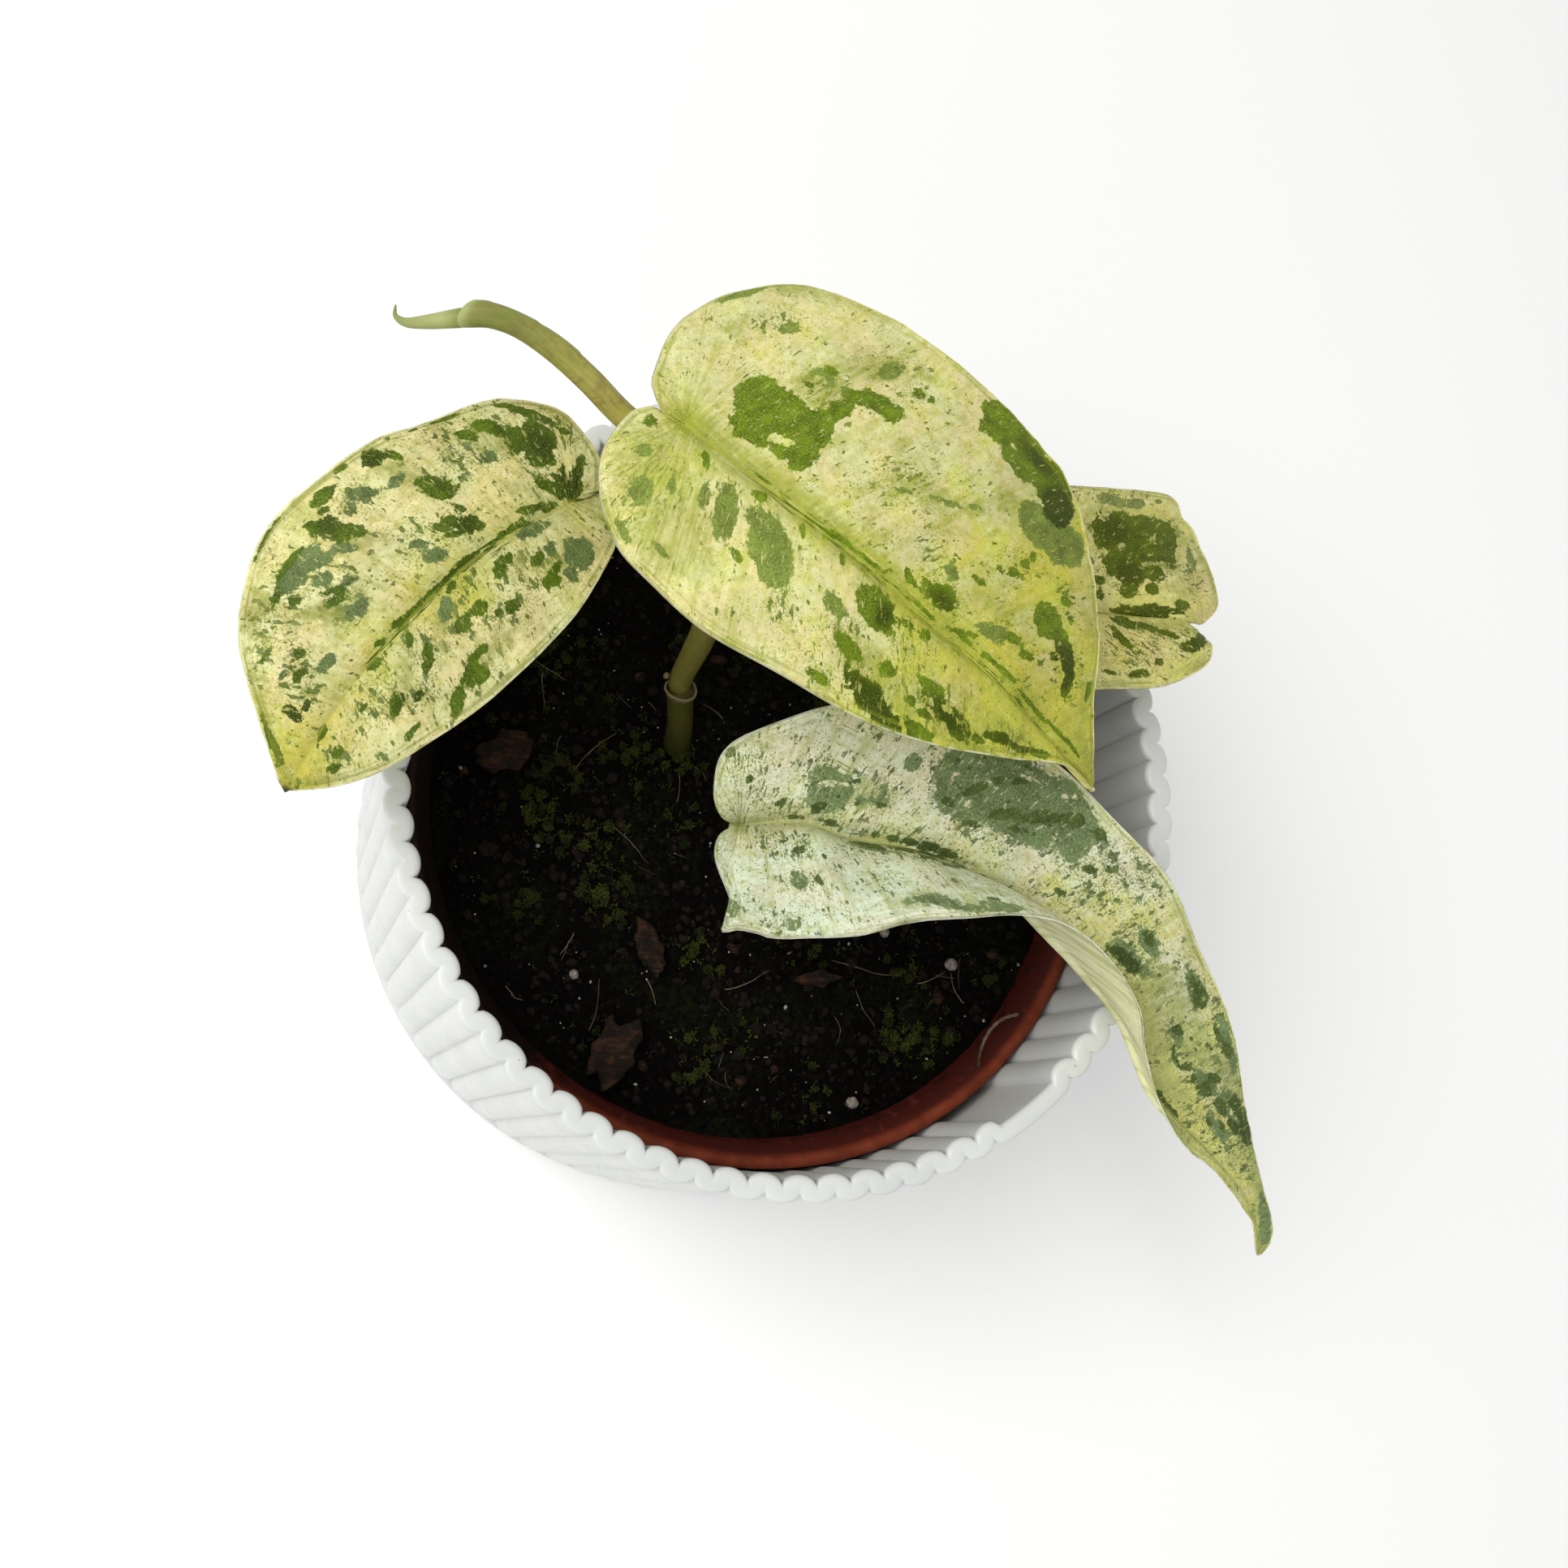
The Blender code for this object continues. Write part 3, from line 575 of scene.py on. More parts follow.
def grid_faces(rows, columns, wrap=False):
    """Quads over a grid of rows x columns points; wrap joins the last column to the first."""
    faces = []
    for i in range(rows - 1):
        for j in range(columns if wrap else columns - 1):
            k = (j + 1) % columns
            a, b = i * columns, (i + 1) * columns
            faces.append((a + j, a + k, b + k, b + j))
    return faces


def tube_faces(rings, around):
    """Quads round a stack of rings, and a cap on the first ring and on the last."""
    first, last = range(around), range((rings - 1) * around, rings * around)
    return [*grid_faces(rings, around, wrap=True), tuple(first)[::-1], tuple(last)]


def turns(around):
    """Evenly spaced angles round a ring, in radians."""
    return 2 * math.pi * np.arange(around) / around


def unit(vector):
    return vector / np.linalg.norm(vector)


def cross_directions(line):
    """Two steady directions across a line of points, at each of them."""
    tangents = np.gradient(line, axis=0)
    tangents /= np.linalg.norm(tangents, axis=1)[:, None]
    side = np.cross(tangents[0], (0.3, 0.2, 1.0))
    sides = []
    for tangent in tangents:
        side = unit(side - tangent * (side @ tangent))
        sides.append(side)
    sides = np.array(sides)
    return sides, np.cross(tangents, sides)


def sweep(line, radii, around):
    """A tube of changing, possibly uneven radius. radii is one number or one row for each station."""
    line = np.asarray(line, float)
    radii = np.asarray(radii, float)
    if radii.ndim == 1:
        radii = np.repeat(radii[:, None], around, axis=1)
    sides, others = cross_directions(line)
    angle = turns(around)[None, :, None]
    outward = np.cos(angle) * sides[:, None] + np.sin(angle) * others[:, None]
    rings = line[:, None] + radii[:, :, None] * outward
    return rings.reshape(-1, 3), tube_faces(len(line), around)


def point_normals(points, faces):
    """Area-weighted normals of a mesh of quads or triangles."""
    normals = np.zeros_like(points)
    quads = np.array([face if len(face) == 4 else (*face, face[2]) for face in faces])
    a, b, c, d = (points[quads[:, k]] for k in range(4))
    flat = np.cross(c - a, d - b)
    for k in range(4):
        np.add.at(normals, quads[:, k], flat)
    lengths = np.linalg.norm(normals, axis=1)
    return normals / np.maximum(lengths, 1e-9)[:, None]


def cloud_noise(spot, octaves):
    return noise.fractal(spot, 1.0, 2.0, octaves, noise_basis="PERLIN_ORIGINAL")


def noise_at(points, scale, seed=0.0, octaves=3):
    """Soft noise between about -1 and 1 at each point, with features of about scale millimetres."""
    return np.array([cloud_noise(Vector((x / scale + seed, y / scale - seed, z / scale + 3 * seed)), octaves)
                     for x, y, z in points])


# ---------------------------------------------------------------- leaves

# Each blade close to the CAD's, with its margins drawn more finely: where the stalk meets it, then
# points measured from there, along the midrib to the tip and round each margin from the notch to the tip.
# "lobes" is the share of each margin that the rows of the fan reach.
LEAVES = {
    "leaf_centre": {
        "base": (-30.5, 39, 120),
        "midrib": [(11.5, -9, 2.5), (24.5, -18, 2.5), (36.5, -25.5, -0.5), (49.5, -32.5, -5.5),
            (70, -43, -19)],
        "upper": [(-1.6, 0.2, 0.2), (-3.3, 1.6, -0.1), (-4, 4.2, -0.8), (-4, 7, -1.5), (-0.2, 16, -4),
            (8.5, 23.4, -5.5), (20.5, 26, -5.5), (32.9, 21.8, -4.5), (45.7, 13.4, -4), (58.7, 4.9, -7),
            (62.3, 0.2, -8.4), (64.9, -5.4, -9.5), (67, -20.5, -11.5), (67.5, -33.5, -14.5)],
        "lower": [(-2, 1.4, -1.3), (-3.7, 2.5, -1.9), (-5.4, 2.3, -2.1), (-7.6, 0.8, -2.3),
            (-10.7, -5, -2.5), (-10.8, -12, -2), (-8.5, -18.2, -1.6), (-4.6, -22.5, -1), (3.1, -29, -0.5),
            (14, -34, -1), (26, -39, -2.5), (38, -41.3, -5), (50.5, -41.3, -9), (62, -40.7, -13.5)],
        "lobes": (0.34, 0.26),
    },
    "leaf_left": {
        "base": (-43.5, 30, 109),
        "midrib": [(-7.5, -5, 1), (-16, -12.5, 0.5), (-23, -20.5, -1.5), (-29.5, -29, -5.5),
            (-36, -41, -12)],
        "upper": [(2.2, 1.2, 0), (4, 3.2, -0.6), (4, 9, -2.5), (-1.5, 15.5, -4), (-9.5, 15.6, -3.5),
            (-15.6, 13, -2.8), (-21.6, 9.2, -2), (-27.2, 6.3, -1.9), (-33.2, 1.3, -2.5), (-41, -7.4, -5),
            (-43.5, -19, -8), (-41.4, -28, -9.5), (-38.2, -35.8, -11.5)],
        "lower": [(2.3, 1.5, -1.4), (5, 1.6, -1.7), (6.6, -2.2, -1.2), (6, -6.5, -0.5), (2, -14.5, 0),
            (-2.6, -20.4, -1), (-11.3, -29.4, -3), (-17.4, -34, -5), (-23.5, -38.1, -7.5),
            (-29, -40.2, -9.5)],
        "lobes": (0.22, 0.15),
    },
    "leaf_right": {
        "base": (15, 26, 97),
        "midrib": [(13.5, 0.5, 0), (28, 0.5, -1.5), (46.5, 2.5, -6.5)],
        "upper": [(-2, 2, 0), (-3.5, 7, -0.5), (2, 15.5, -1.5), (14, 20.8, -2.5), (26.5, 22, -4),
            (46.4, 25.5, -10.5), (50, 21.8, -10.9), (52.4, 19, -11), (56.3, 8.5, -11), (51.4, 2.7, -8.5)],
        "lower": [(-2, -3, 0), (-3, -7.5, -0.5), (1.5, -12, -1), (11, -15, -1), (28, -12, -2.5),
            (41, -9.6, -5.5), (51.1, -4.6, -8.5), (52.9, -1.2, -9), (51.8, 0.4, -8.9)],
        "lobes": (0.26, 0.26),
    },
    "leaf_front": {
        "base": (-12, -9, 84),
        "midrib": [(9, 0.5, 3), (15.5, -1.5, 4), (26, -3, 4.5), (40.5, -8, 4), (52, -17, 2.5),
            (61.5, -26, 1.5), (68.5, -38.5, -1), (79.2, -47, -4.6), (89.6, -55.4, -9.6), (95.5, -64, -16)],
        "upper": [(-3, 1, 1), (-5, 4.5, 4), (-4.5, 9.5, 8), (1.5, 13, 10), (12, 17, 11), (25, 18, 11),
            (38.5, 16, 10), (50, 10.5, 8.5), (59.5, 3, 7), (69.5, -5.5, 5), (75, -15, 3), (82.5, -27.5, 0),
            (88, -42.5, -5.5), (92.5, -52.5, -10), (95.3, -57.8, -12.8), (96.3, -61.4, -14.6)],
        "lower": [(-3.5, -2, 2), (-5, -6, 5), (-3.8, -12, 8), (-3.8, -14.9, 10), (-5.9, -18.3, 12.5),
            (-3.8, -17.9, 13), (-0.7, -18.5, 14), (1.5, -19, 15), (12.5, -18.5, 17), (20.5, -16.5, 18),
            (30, -15.5, 19), (41, -15, 19), (48.5, -17.5, 18), (55, -22, 16), (59, -27.5, 14), (62, -34, 9),
            (67.5, -41.5, 3), (74, -47, -1.5), (82, -51, -6), (91, -58.5, -11.5), (92.4, -61, -13.3),
            (93.9, -63.8, -15.4)],
        "lobes": (0.12, 0.16),
    },
}
FAN = 0.25            # the share of a blade's rows that fan out from the base into its lobes
CROWN = 0.05          # a half blade's bulge, as a part of its width
VEIN_SWEEP = 1.25     # above 1, the side veins lean towards the tip
ROWS = 150
COLUMNS = 40
MIDRIB_STEPS = 400
MARGIN_STEPS = 600
BATCH = 2000             # points whose distances are worked out at once
SIDE_VEINS = 13
BLADE = 0.6           # thickness

# Blotches as (along, across, half length, half width, turn in degrees): on the pressed-flat blade, measured
# along the midrib from the base, and across it with the upper half positive. "gap" cuts pale islands out
# of the dark and grey ones, flecks are thick inside the "crowd" ones, and the dark is deepest in "shade".
BLOTCHES = {
    "leaf_centre": {
        "dark": [(8.2, 9.6, 5.6, 5, 0), (5.2, 10.2, 3.2, 4.2, 0), (7.4, 5.4, 3.6, 2.2, 10),
            (13.4, 11.6, 3.4, 3.6, 0), (13.6, 7.6, 4, 3, 0), (15.8, 5.8, 2, 1.2, 20),
            (14.6, 17.2, 1.8, 2.2, 0), (9.5, 21.6, 1.6, 0.7, 10), (8.6, 17.4, 1, 0.7, 0),
            (18, 22.2, 4.3, 2, 14), (21.4, 22.6, 1.5, 2.2, 0), (15.4, 20.6, 2, 1.5, 40),
            (22, 28.8, 1.3, 1.1, 0), (24.4, 29.8, 1.1, 0.9, 60), (37, 36.2, 5.4, 3.8, -4),
            (43, 34.6, 5.6, 4.6, -6), (50, 34.4, 5.4, 4.2, -12), (54, 31.6, 3.6, 3.8, -20),
            (35, 33.6, 2.6, 2.2, 0), (44, 31.2, 3, 1.4, 0), (61.8, 13.2, 3.2, 2.9, 0),
            (65.6, 12.2, 2.6, 1.9, -10), (68.4, 10.8, 2.2, 1.6, -25), (70.8, 8, 1.1, 2.6, 10),
            (43.2, 3.4, 2.7, 1.2, 5), (45.2, 4.6, 1.1, 1.1, 0), (42, 4.8, 2.4, 0.4, 12),
            (44, 5.8, 1.6, 0.35, 15), (57.3, 6.6, 1.6, 0.8, 20), (61, 6.1, 2.1, 0.7, 20),
            (63.6, 6.9, 1.2, 0.5, 20), (38, 2.6, 3.4, 0.35, 10), (37, 3.7, 3, 0.3, 15),
            (26, 0.7, 3.4, 0.4, 2), (32, 1.1, 3.2, 0.4, 5), (46, 1.1, 6, 0.35, 4), (56, 1.7, 6, 0.4, 2),
            (66, 1.3, 5, 0.35, -2), (73, 1.5, 4, 0.3, 0), (50, 2.5, 3, 0.4, 20), (78, 1.6, 3, 0.3, -5),
            (54, 20.4, 1, 0.7, 20), (53.6, 18.3, 1.4, 0.7, 20), (52.2, 15.4, 1.6, 0.8, 30),
            (50, 14.2, 1, 0.6, 0), (63.6, 18.5, 1.4, 0.9, 10), (65.8, 16.4, 0.9, 0.8, 0),
            (66.2, 21.3, 0.9, 0.5, 20), (75.4, 10.2, 0.8, 1.9, 15), (47.5, 10.2, 1.8, 0.6, 10),
            (65.5, 9.2, 1.1, 0.6, 10), (42.2, 10.7, 1.4, 0.4, 15), (36.4, -4.1, 3.9, 2.6, -15),
            (41.4, -2.7, 1.7, 0.6, 15), (44.7, -2.1, 0.9, 1, -30), (36.4, -10.9, 3, 1.1, 0),
            (43, -9.5, 1.4, 1, 0), (43.6, -14.2, 5.6, 1.8, -8), (47.6, -15, 2.6, 1, 10),
            (52, -13, 2.8, 0.9, 5), (35, -16.6, 3.2, 0.6, 5), (54.2, -8.8, 4.8, 1.3, 0),
            (49.6, -7.3, 2, 0.8, 10), (48.4, -10.6, 1.2, 0.7, 0), (51.2, -10.8, 1.5, 0.7, 8),
            (57, -9.8, 2.4, 0.9, -5), (64, -6, 3.2, 0.8, 22), (68.4, -4.8, 2.4, 0.6, 25),
            (71.8, -3.4, 2, 0.6, 28), (60.6, -8.4, 1.4, 0.6, 0), (14.6, -1.9, 1.3, 0.7, 15),
            (5.6, -2.6, 1.5, 0.6, -50), (-3.6, -2.8, 1, 1, 0), (17, -10.8, 1.3, 0.6, -20),
            (21.8, -2.2, 1.1, 0.4, -55), (28.4, -1.8, 1, 0.5, -50)],
        "grey": [(52.4, 25.8, 5.2, 3.8, -4), (57, 26.6, 5, 4.2, 0), (60.5, 27.6, 2.6, 3.2, 0),
            (54, 5.4, 3.4, 1.4, 20), (43.2, 8.2, 1.8, 1.2, 10), (9.4, 19.6, 1.8, 1.6, 0),
            (13, 20, 1.6, 1, 40), (12.2, -6.8, 4.4, 1.7, -58), (10.6, -4.6, 1.6, 1, -50),
            (16.4, -4.9, 2.6, 1.5, -15), (20.2, -7.4, 5.2, 2.9, -42), (22.8, -9.4, 2, 1.6, -20),
            (1.6, -11.9, 1.8, 2.1, 0), (31.4, -7.7, 2.4, 1.2, -5), (8.7, -7, 2.4, 0.8, -60),
            (-1.6, -7, 1, 1.1, 0), (4.4, -8.6, 1.3, 0.6, -60), (16, 29.4, 2.6, 1.5, 60),
            (-7.4, 24.6, 4.6, 0.7, 65), (30, 13.2, 2.6, 0.5, 25), (36.6, 16.6, 3, 0.6, 25),
            (40.6, 19.6, 1.4, 0.5, 20), (0.8, 24, 2.4, 0.5, 65), (1.8, 23.6, 2, 0.5, 60),
            (3, -17.5, 2, 0.6, -20), (9, -16.6, 1.6, 0.5, -10)],
        "soft": [(33.5, 15.6, 5.6, 1.9, 25), (38.5, 18, 3.6, 1.4, 20), (28.6, 12.4, 1.7, 1.7, 0),
            (37.6, 13.4, 1.7, 1.7, 0), (41.4, 20.2, 1.3, 0.9, 0), (25, 18.4, 1.4, 2, 0),
            (15, 28.6, 3, 2, 60), (20.5, 32.6, 2.4, 0.8, 10), (52.8, 8.6, 4, 1.5, 10), (-4, 18, 1.4, 3, 20),
            (-8.2, 24, 3, 1.4, 70), (2, 1.5, 4, 1.4, 20), (45.6, -1.2, 2.6, 0.9, -20),
            (29.6, 4.6, 2, 1.1, 10), (56, -5.3, 2.2, 1, 0), (61.5, 0.6, 1.8, 0.8, 0), (16, 1.6, 16, 1.4, 1),
            (44, 1.4, 18, 1.2, 1), (70, 1.2, 12, 1, 0), (80, 2.5, 5, 1.6, -20), (75, 9, 3, 1.6, -40),
            (9, -10, 7, 2.2, -50), (43, -11.5, 8, 3, -5), (55, -9.5, 7, 2.2, 5), (11, 18, 4.4, 4, 0),
            (63, -5.5, 6, 1.8, 20), (46, 25, 4, 2, 0), (70, 18, 4, 1, -48), (12, 25, 5, 1.4, 50),
            (6, -4.5, 3, 1.2, -55), (1, -9, 7, 5, -30), (9, -14, 6, 5, -30), (15, 28.4, 5.4, 2.2, 32),
            (-2.5, 31.5, 5, 1.2, 45), (6, 36, 6, 1, 20)],
        "gap": [(11.6, 7, 2, 0.8, 20), (12.4, 18.8, 1.5, 1, 0), (10, 16, 1.6, 0.6, 0),
            (9.2, 19.4, 1, 0.7, 0), (53.5, -8.2, 1.4, 0.4, 10), (50.6, -9, 1, 0.3, 0),
            (56.2, -8.4, 0.9, 0.3, 0), (40.6, 34.4, 1.2, 0.5, 20)],
        "crowd": [(11.5, 18.5, 4.5, 4, 0), (30, 14, 6, 4, 20), (53, 17.5, 4, 3.5, 20),
            (64, 18.5, 3.5, 3.5, 0), (43, 4.5, 6, 3, 10), (58, 7, 6, 2, 18), (52, -9, 9, 3.5, 0),
            (44, -13, 7, 3.5, 0), (66, -5, 7, 2.2, 22), (36, -10, 5, 3, 0), (43, -5, 6, 3, 0),
            (36, -16, 6, 1.5, 0), (-1, 24, 4, 3, 60), (15, 29, 4, 3, 60), (20, 33, 3, 1.5, 0),
            (70, 9, 4, 4, 0), (-1, -6, 3, 3, 0), (40, 9, 4, 2.5, 10), (30, 4.5, 4, 1.5, 0),
            (27, 0.8, 8, 1, 0), (26, -13, 3, 2, 0), (4, -16, 5, 2, -20), (2, -9, 5, 4, 0),
            (64, 1.5, 5, 2, 0), (22, 29, 3, 2, 30)],
        "shade": [(54, 31.5, 5, 4.5, -30), (46, 36, 6, 2, 0), (68.5, 9.5, 4, 3.5, -40),
            (44, -14.2, 8, 2.6, 0), (55, -9, 6, 2, 0), (66, -5.4, 8, 1.6, 22), (38, -4, 2, 2.5, 0),
            (44, 3.6, 3, 1.6, 5)],
    },
    "leaf_left": {
        "dark": [(-1.2, 10.8, 2.9, 3.2, -20), (0.3, 8.2, 2.2, 2.6, -60), (1.6, 11.6, 2.2, 2.6, 50),
            (2.6, 13.6, 2.4, 1.3, 50), (-2.8, 15, 2.9, 0.9, 42), (-4.6, 12.8, 1.7, 0.8, 60),
            (-1.6, 16.3, 1.6, 0.7, 40), (-5.8, 10.3, 0.9, 0.6, 40), (3.8, 15.3, 1.9, 1.1, 45),
            (7, 15.4, 1.6, 0.7, 55), (0.6, 17.8, 1.3, 0.4, 30), (-2.9, 3, 3.6, 1, -44),
            (-1, 2.8, 2.8, 1, -68), (1.2, 2.6, 2.6, 1.1, 62), (2.4, 3.6, 1.6, 0.9, 30),
            (0.2, 4, 1.4, 0.6, 75), (-0.8, 0.5, 1.4, 0.5, -20), (5.2, 1.4, 2.8, 0.6, 14),
            (4, 0.8, 1.6, 0.5, 5), (7.2, 1.8, 1.1, 0.4, 20), (10.6, 0.6, 3.8, 0.5, 0),
            (18.2, 0.3, 3, 0.85, 0), (22.4, 0.3, 2.6, 0.75, 0), (26.4, 0.4, 2.8, 0.7, 4),
            (29.8, 0.8, 2.2, 0.65, 14), (30, -0.1, 1.2, 0.4, 0), (34, 0.9, 0.9, 0.5, 20),
            (36.6, -0.6, 1.2, 0.8, 20), (14.5, 10.8, 2.9, 1.8, 62), (14.2, 4.2, 1.6, 1.4, 40),
            (15.8, 5.8, 1.7, 0.8, 55), (17.6, 6.2, 1.6, 0.6, 50), (14, 6.8, 1, 0.5, 70),
            (16.8, 4.3, 1.3, 0.4, 30), (18.3, 19.6, 1.8, 1.5, 0), (16.1, 18.2, 1.4, 0.5, 65),
            (25.2, 19.9, 1.7, 1, 10), (22, 21.2, 1, 0.4, 0), (27.4, 15.9, 2.9, 1.6, 58),
            (25.6, 13.5, 1.5, 0.7, 60), (28.9, 18.7, 0.9, 0.4, 20), (26.6, 18.5, 0.8, 0.4, 30),
            (33, 10, 2.3, 0.6, 28), (33.4, 9, 1.8, 0.8, 10), (37.6, 13.2, 1.3, 0.8, 20),
            (34.4, 16.9, 3.6, 0.5, -5), (38.6, 15.4, 1.5, 0.8, -20), (42, 7.8, 1, 0.7, 30),
            (43.8, 6.2, 1.4, 0.8, 20), (48.2, 4.3, 0.8, 1.5, 0), (46.4, 3.3, 0.9, 0.7, 0),
            (48.3, -0.4, 1.3, 0.7, 0), (9.6, -8.2, 1.7, 1, -10), (8.2, -7.4, 1.4, 0.7, -20),
            (9.4, -5, 1.4, 0.8, -10), (16.9, -8.2, 1.5, 1, 0), (19.2, -7.6, 0.8, 0.5, 0),
            (14.8, -3, 1.4, 0.9, -40), (13, -2.6, 1, 0.5, -40), (20.8, -5.5, 1.6, 0.9, 0),
            (24.3, -5.6, 2, 1.1, -10), (21.8, -0.8, 1.4, 0.7, -20), (28.4, -11, 1.9, 1.4, -10),
            (25.4, -9.8, 2.3, 0.6, 5), (27.5, -12.4, 1.8, 0.5, 10), (32.6, -12, 2.3, 1, -30),
            (30.6, -4.6, 1.6, 0.6, -30), (31.6, -5.8, 1.3, 0.8, -20), (38.4, -6.2, 1.8, 0.9, -20),
            (36, -7.9, 0.9, 0.7, 0), (40, -10.3, 1.7, 0.5, 0), (42, -3.2, 0.9, 0.4, 0),
            (51.5, -4.2, 1.1, 0.7, 40), (49.3, -3.4, 0.9, 0.6, 0), (31, -2, 1.1, 0.5, -40),
            (31, 22.3, 2.4, 0.3, -3), (34, 21.6, 2.6, 0.35, -12), (8, 19.3, 2.4, 0.35, 8),
            (11.8, 19.9, 1, 0.3, 0), (4.4, 18.7, 1.2, 0.35, 20), (44.5, 17.6, 2.8, 0.35, -40),
            (52.6, 5.4, 3.2, 0.6, -52), (54, 3.2, 1.6, 0.6, -52)],
        "grey": [(3.4, -7, 2.6, 2.4, 10), (6, -8.9, 1.4, 1, 10), (8, -1.1, 2.8, 1, 0),
            (7, -4.6, 1.4, 0.9, -10), (34.6, 15.6, 4.2, 1.7, 0), (31.6, 14.2, 2, 1, 30),
            (32.6, 12, 1.5, 0.9, 20), (28.2, 13, 1.7, 0.7, 55), (18, 15, 1.4, 0.8, 0), (22, 16.3, 2, 1, 30),
            (20.5, 3.6, 1.7, 1, 30), (21.2, 6.4, 1.3, 0.7, 30), (32.6, 6.1, 2.2, 1.3, 0),
            (40.4, 4.2, 1.5, 0.8, 10), (6.8, 10.9, 1.3, 1, 0), (24.4, -2.4, 2, 0.9, -35),
            (45, 8, 0.9, 0.5, 20), (31, 9.4, 1.6, 0.6, 20)],
        "soft": [(5.8, 4.8, 2.4, 0.9, 50), (26, 12, 4, 1.2, 60), (41, 16, 3.5, 1.4, -10),
            (37, 10, 3, 1, 20), (50, 8, 4, 1, -45), (26, -3.5, 4, 1.4, -35), (36, -5, 4, 1.2, -30),
            (12, -4, 2, 0.8, -40), (4, 13, 4, 3, 40), (16, 14, 4, 1.2, 60), (34, 7, 4, 2.4, 0),
            (24, -10.5, 6, 1.6, 0), (6, -6.5, 5, 2.4, 0)],
        "gap": [(-2.1, 4.5, 1.6, 0.35, -58), (32.4, 7.2, 1.6, 0.3, 20)],
        "crowd": [(32.5, 8.5, 4, 3.6, 0), (6.5, 11.5, 3, 3, 0), (10, 13, 2, 4, 0), (20, 5.5, 4, 2.5, 30),
            (43.5, 7, 3, 2.5, 0), (23, 16.5, 3, 2.5, 0), (31, -4.5, 4, 2.5, -30), (9, -6.5, 3.5, 2.5, 0),
            (17, -8.5, 4, 2, 0), (22, -2, 5, 1.8, -20), (36, -7.5, 3, 2, 0), (28, -11, 5, 1.8, 0),
            (14, -3, 2.5, 1.5, -40), (3, 4.5, 2, 1.5, 40), (46, 3.5, 3, 2, 0), (6, 17, 5, 1.5, 15),
            (37, 14.5, 4, 3, 0), (50, -3.5, 3, 2, 0), (-4, 12, 4, 4, 0), (16, 5, 3, 3, 0),
            (24, -6, 4, 2, 0), (40, -4, 5, 3, 0), (42, 13, 4, 3, -30), (12, -6, 3, 3, 0)],
        "shade": [(-1.5, 2.8, 4, 2.4, -50), (-1, 9.5, 2.5, 3, 0), (19, 0.3, 5, 1, 0),
            (18.3, 19.6, 2.5, 2, 0), (14.5, 4.5, 2, 2, 0), (27.4, 17, 1.5, 2, 0), (36, -7, 4, 2, 0),
            (48, 3, 3, 3, 0)],
    },
    "leaf_right": {
        "dark": [(38, 17.6, 7.2, 2.6, 8), (31.4, 14.4, 3, 2.6, 30), (45.8, 15.6, 3, 4.2, 0),
            (40.5, 12.4, 6, 2.4, 0), (33.6, 10.8, 4, 1.6, 20), (32.5, 8.4, 2.2, 1.6, 0),
            (36.4, 7.4, 3.6, 2.6, 0), (42, 7.8, 3, 1.7, 0), (35.6, 4.4, 2.4, 1.6, 0),
            (40.5, 4.8, 1.6, 1.1, 0), (29.4, 5.8, 1.4, 1, 0), (29.2, 3, 0.9, 1, 0), (40.5, 0.9, 7.4, 1, 2),
            (46.8, 2.2, 2.2, 0.9, 10), (34, 0.5, 3, 0.5, 0), (33.6, -1.6, 3.2, 0.9, -8),
            (38, -2, 3, 0.6, -8), (32.6, -4, 2.4, 0.7, -30), (47.5, -4.6, 2.6, 1.1, 25),
            (51, -3.4, 2.4, 1.3, 20), (43, -3, 3, 0.5, -10), (36.6, -8.9, 2.6, 0.6, 5),
            (31, -9.4, 1.3, 0.4, 0), (40.6, -7.2, 1.2, 0.6, 0), (37, 14.6, 4, 1.7, 0),
            (45, 11.4, 3, 2.4, 0), (10, 9, 3.2, 1.5, 45), (20, 6, 2.6, 1.4, 40), (16, 15, 3, 2, 50),
            (22, 12.6, 2.4, 1.1, 30), (8, -7, 2.6, 1.1, -45), (19, -9, 3, 1, -35), (24, -4, 2, 0.7, -30),
            (5, 4, 1.5, 0.7, 60)],
        "grey": [(39, 22.6, 2.6, 1.1, 25), (34, 21.2, 3, 0.9, 15), (52.5, 12, 1.2, 2.6, 10),
            (45, 24.4, 1, 0.6, 0), (49, 16.8, 1, 0.7, 0), (24, 18, 2.8, 1.6, 30), (6, 15, 2, 1, 70),
            (14, -12, 3, 0.9, -20), (27, 9, 1.6, 1, 0)],
        "soft": [(53.2, 17, 3.4, 0.8, -65), (54.6, 12.4, 2, 0.9, 60), (49.5, 5, 3, 1.6, 0),
            (47, 1, 4, 1.4, 0), (42, -1.5, 8, 1.4, -3), (52, 22, 3, 0.8, -50), (12, 3, 4, 0.8, 15),
            (40, 15, 12, 8, 0)],
        "gap": [(44, 9.9, 2, 0.4, 5)],
        "crowd": [(46, 10, 5, 3, 0), (36, -5, 8, 4, 0), (52, 8, 3, 4, 0), (32, 9, 3, 5, 0),
            (48, 18, 3, 4, 0), (36, 23, 8, 1.6, 12), (45, -4, 6, 3, 0), (39, 12, 9, 7, 0)],
        "shade": [(33, 16, 4, 3, 0), (42, 1, 8, 1.4, 0), (36, 8, 3, 3, 0), (50, -4, 4, 2, 20),
            (20, -8, 4, 3, 0)],
    },
    "leaf_front": {
        "dark": [(44, 12, 3.4, 0.9, 35), (38.4, 9.6, 3, 0.8, 30), (33.6, 11.4, 2.6, 0.7, 42),
            (47.6, 14.6, 2, 0.7, 50), (40, 15.4, 2.2, 0.5, 30), (30.4, 8.2, 1, 0.7, 0),
            (34.6, 6.4, 1.6, 0.5, 10), (36.4, 14, 1.6, 0.5, 40), (41.6, 8.6, 2, 0.5, 20),
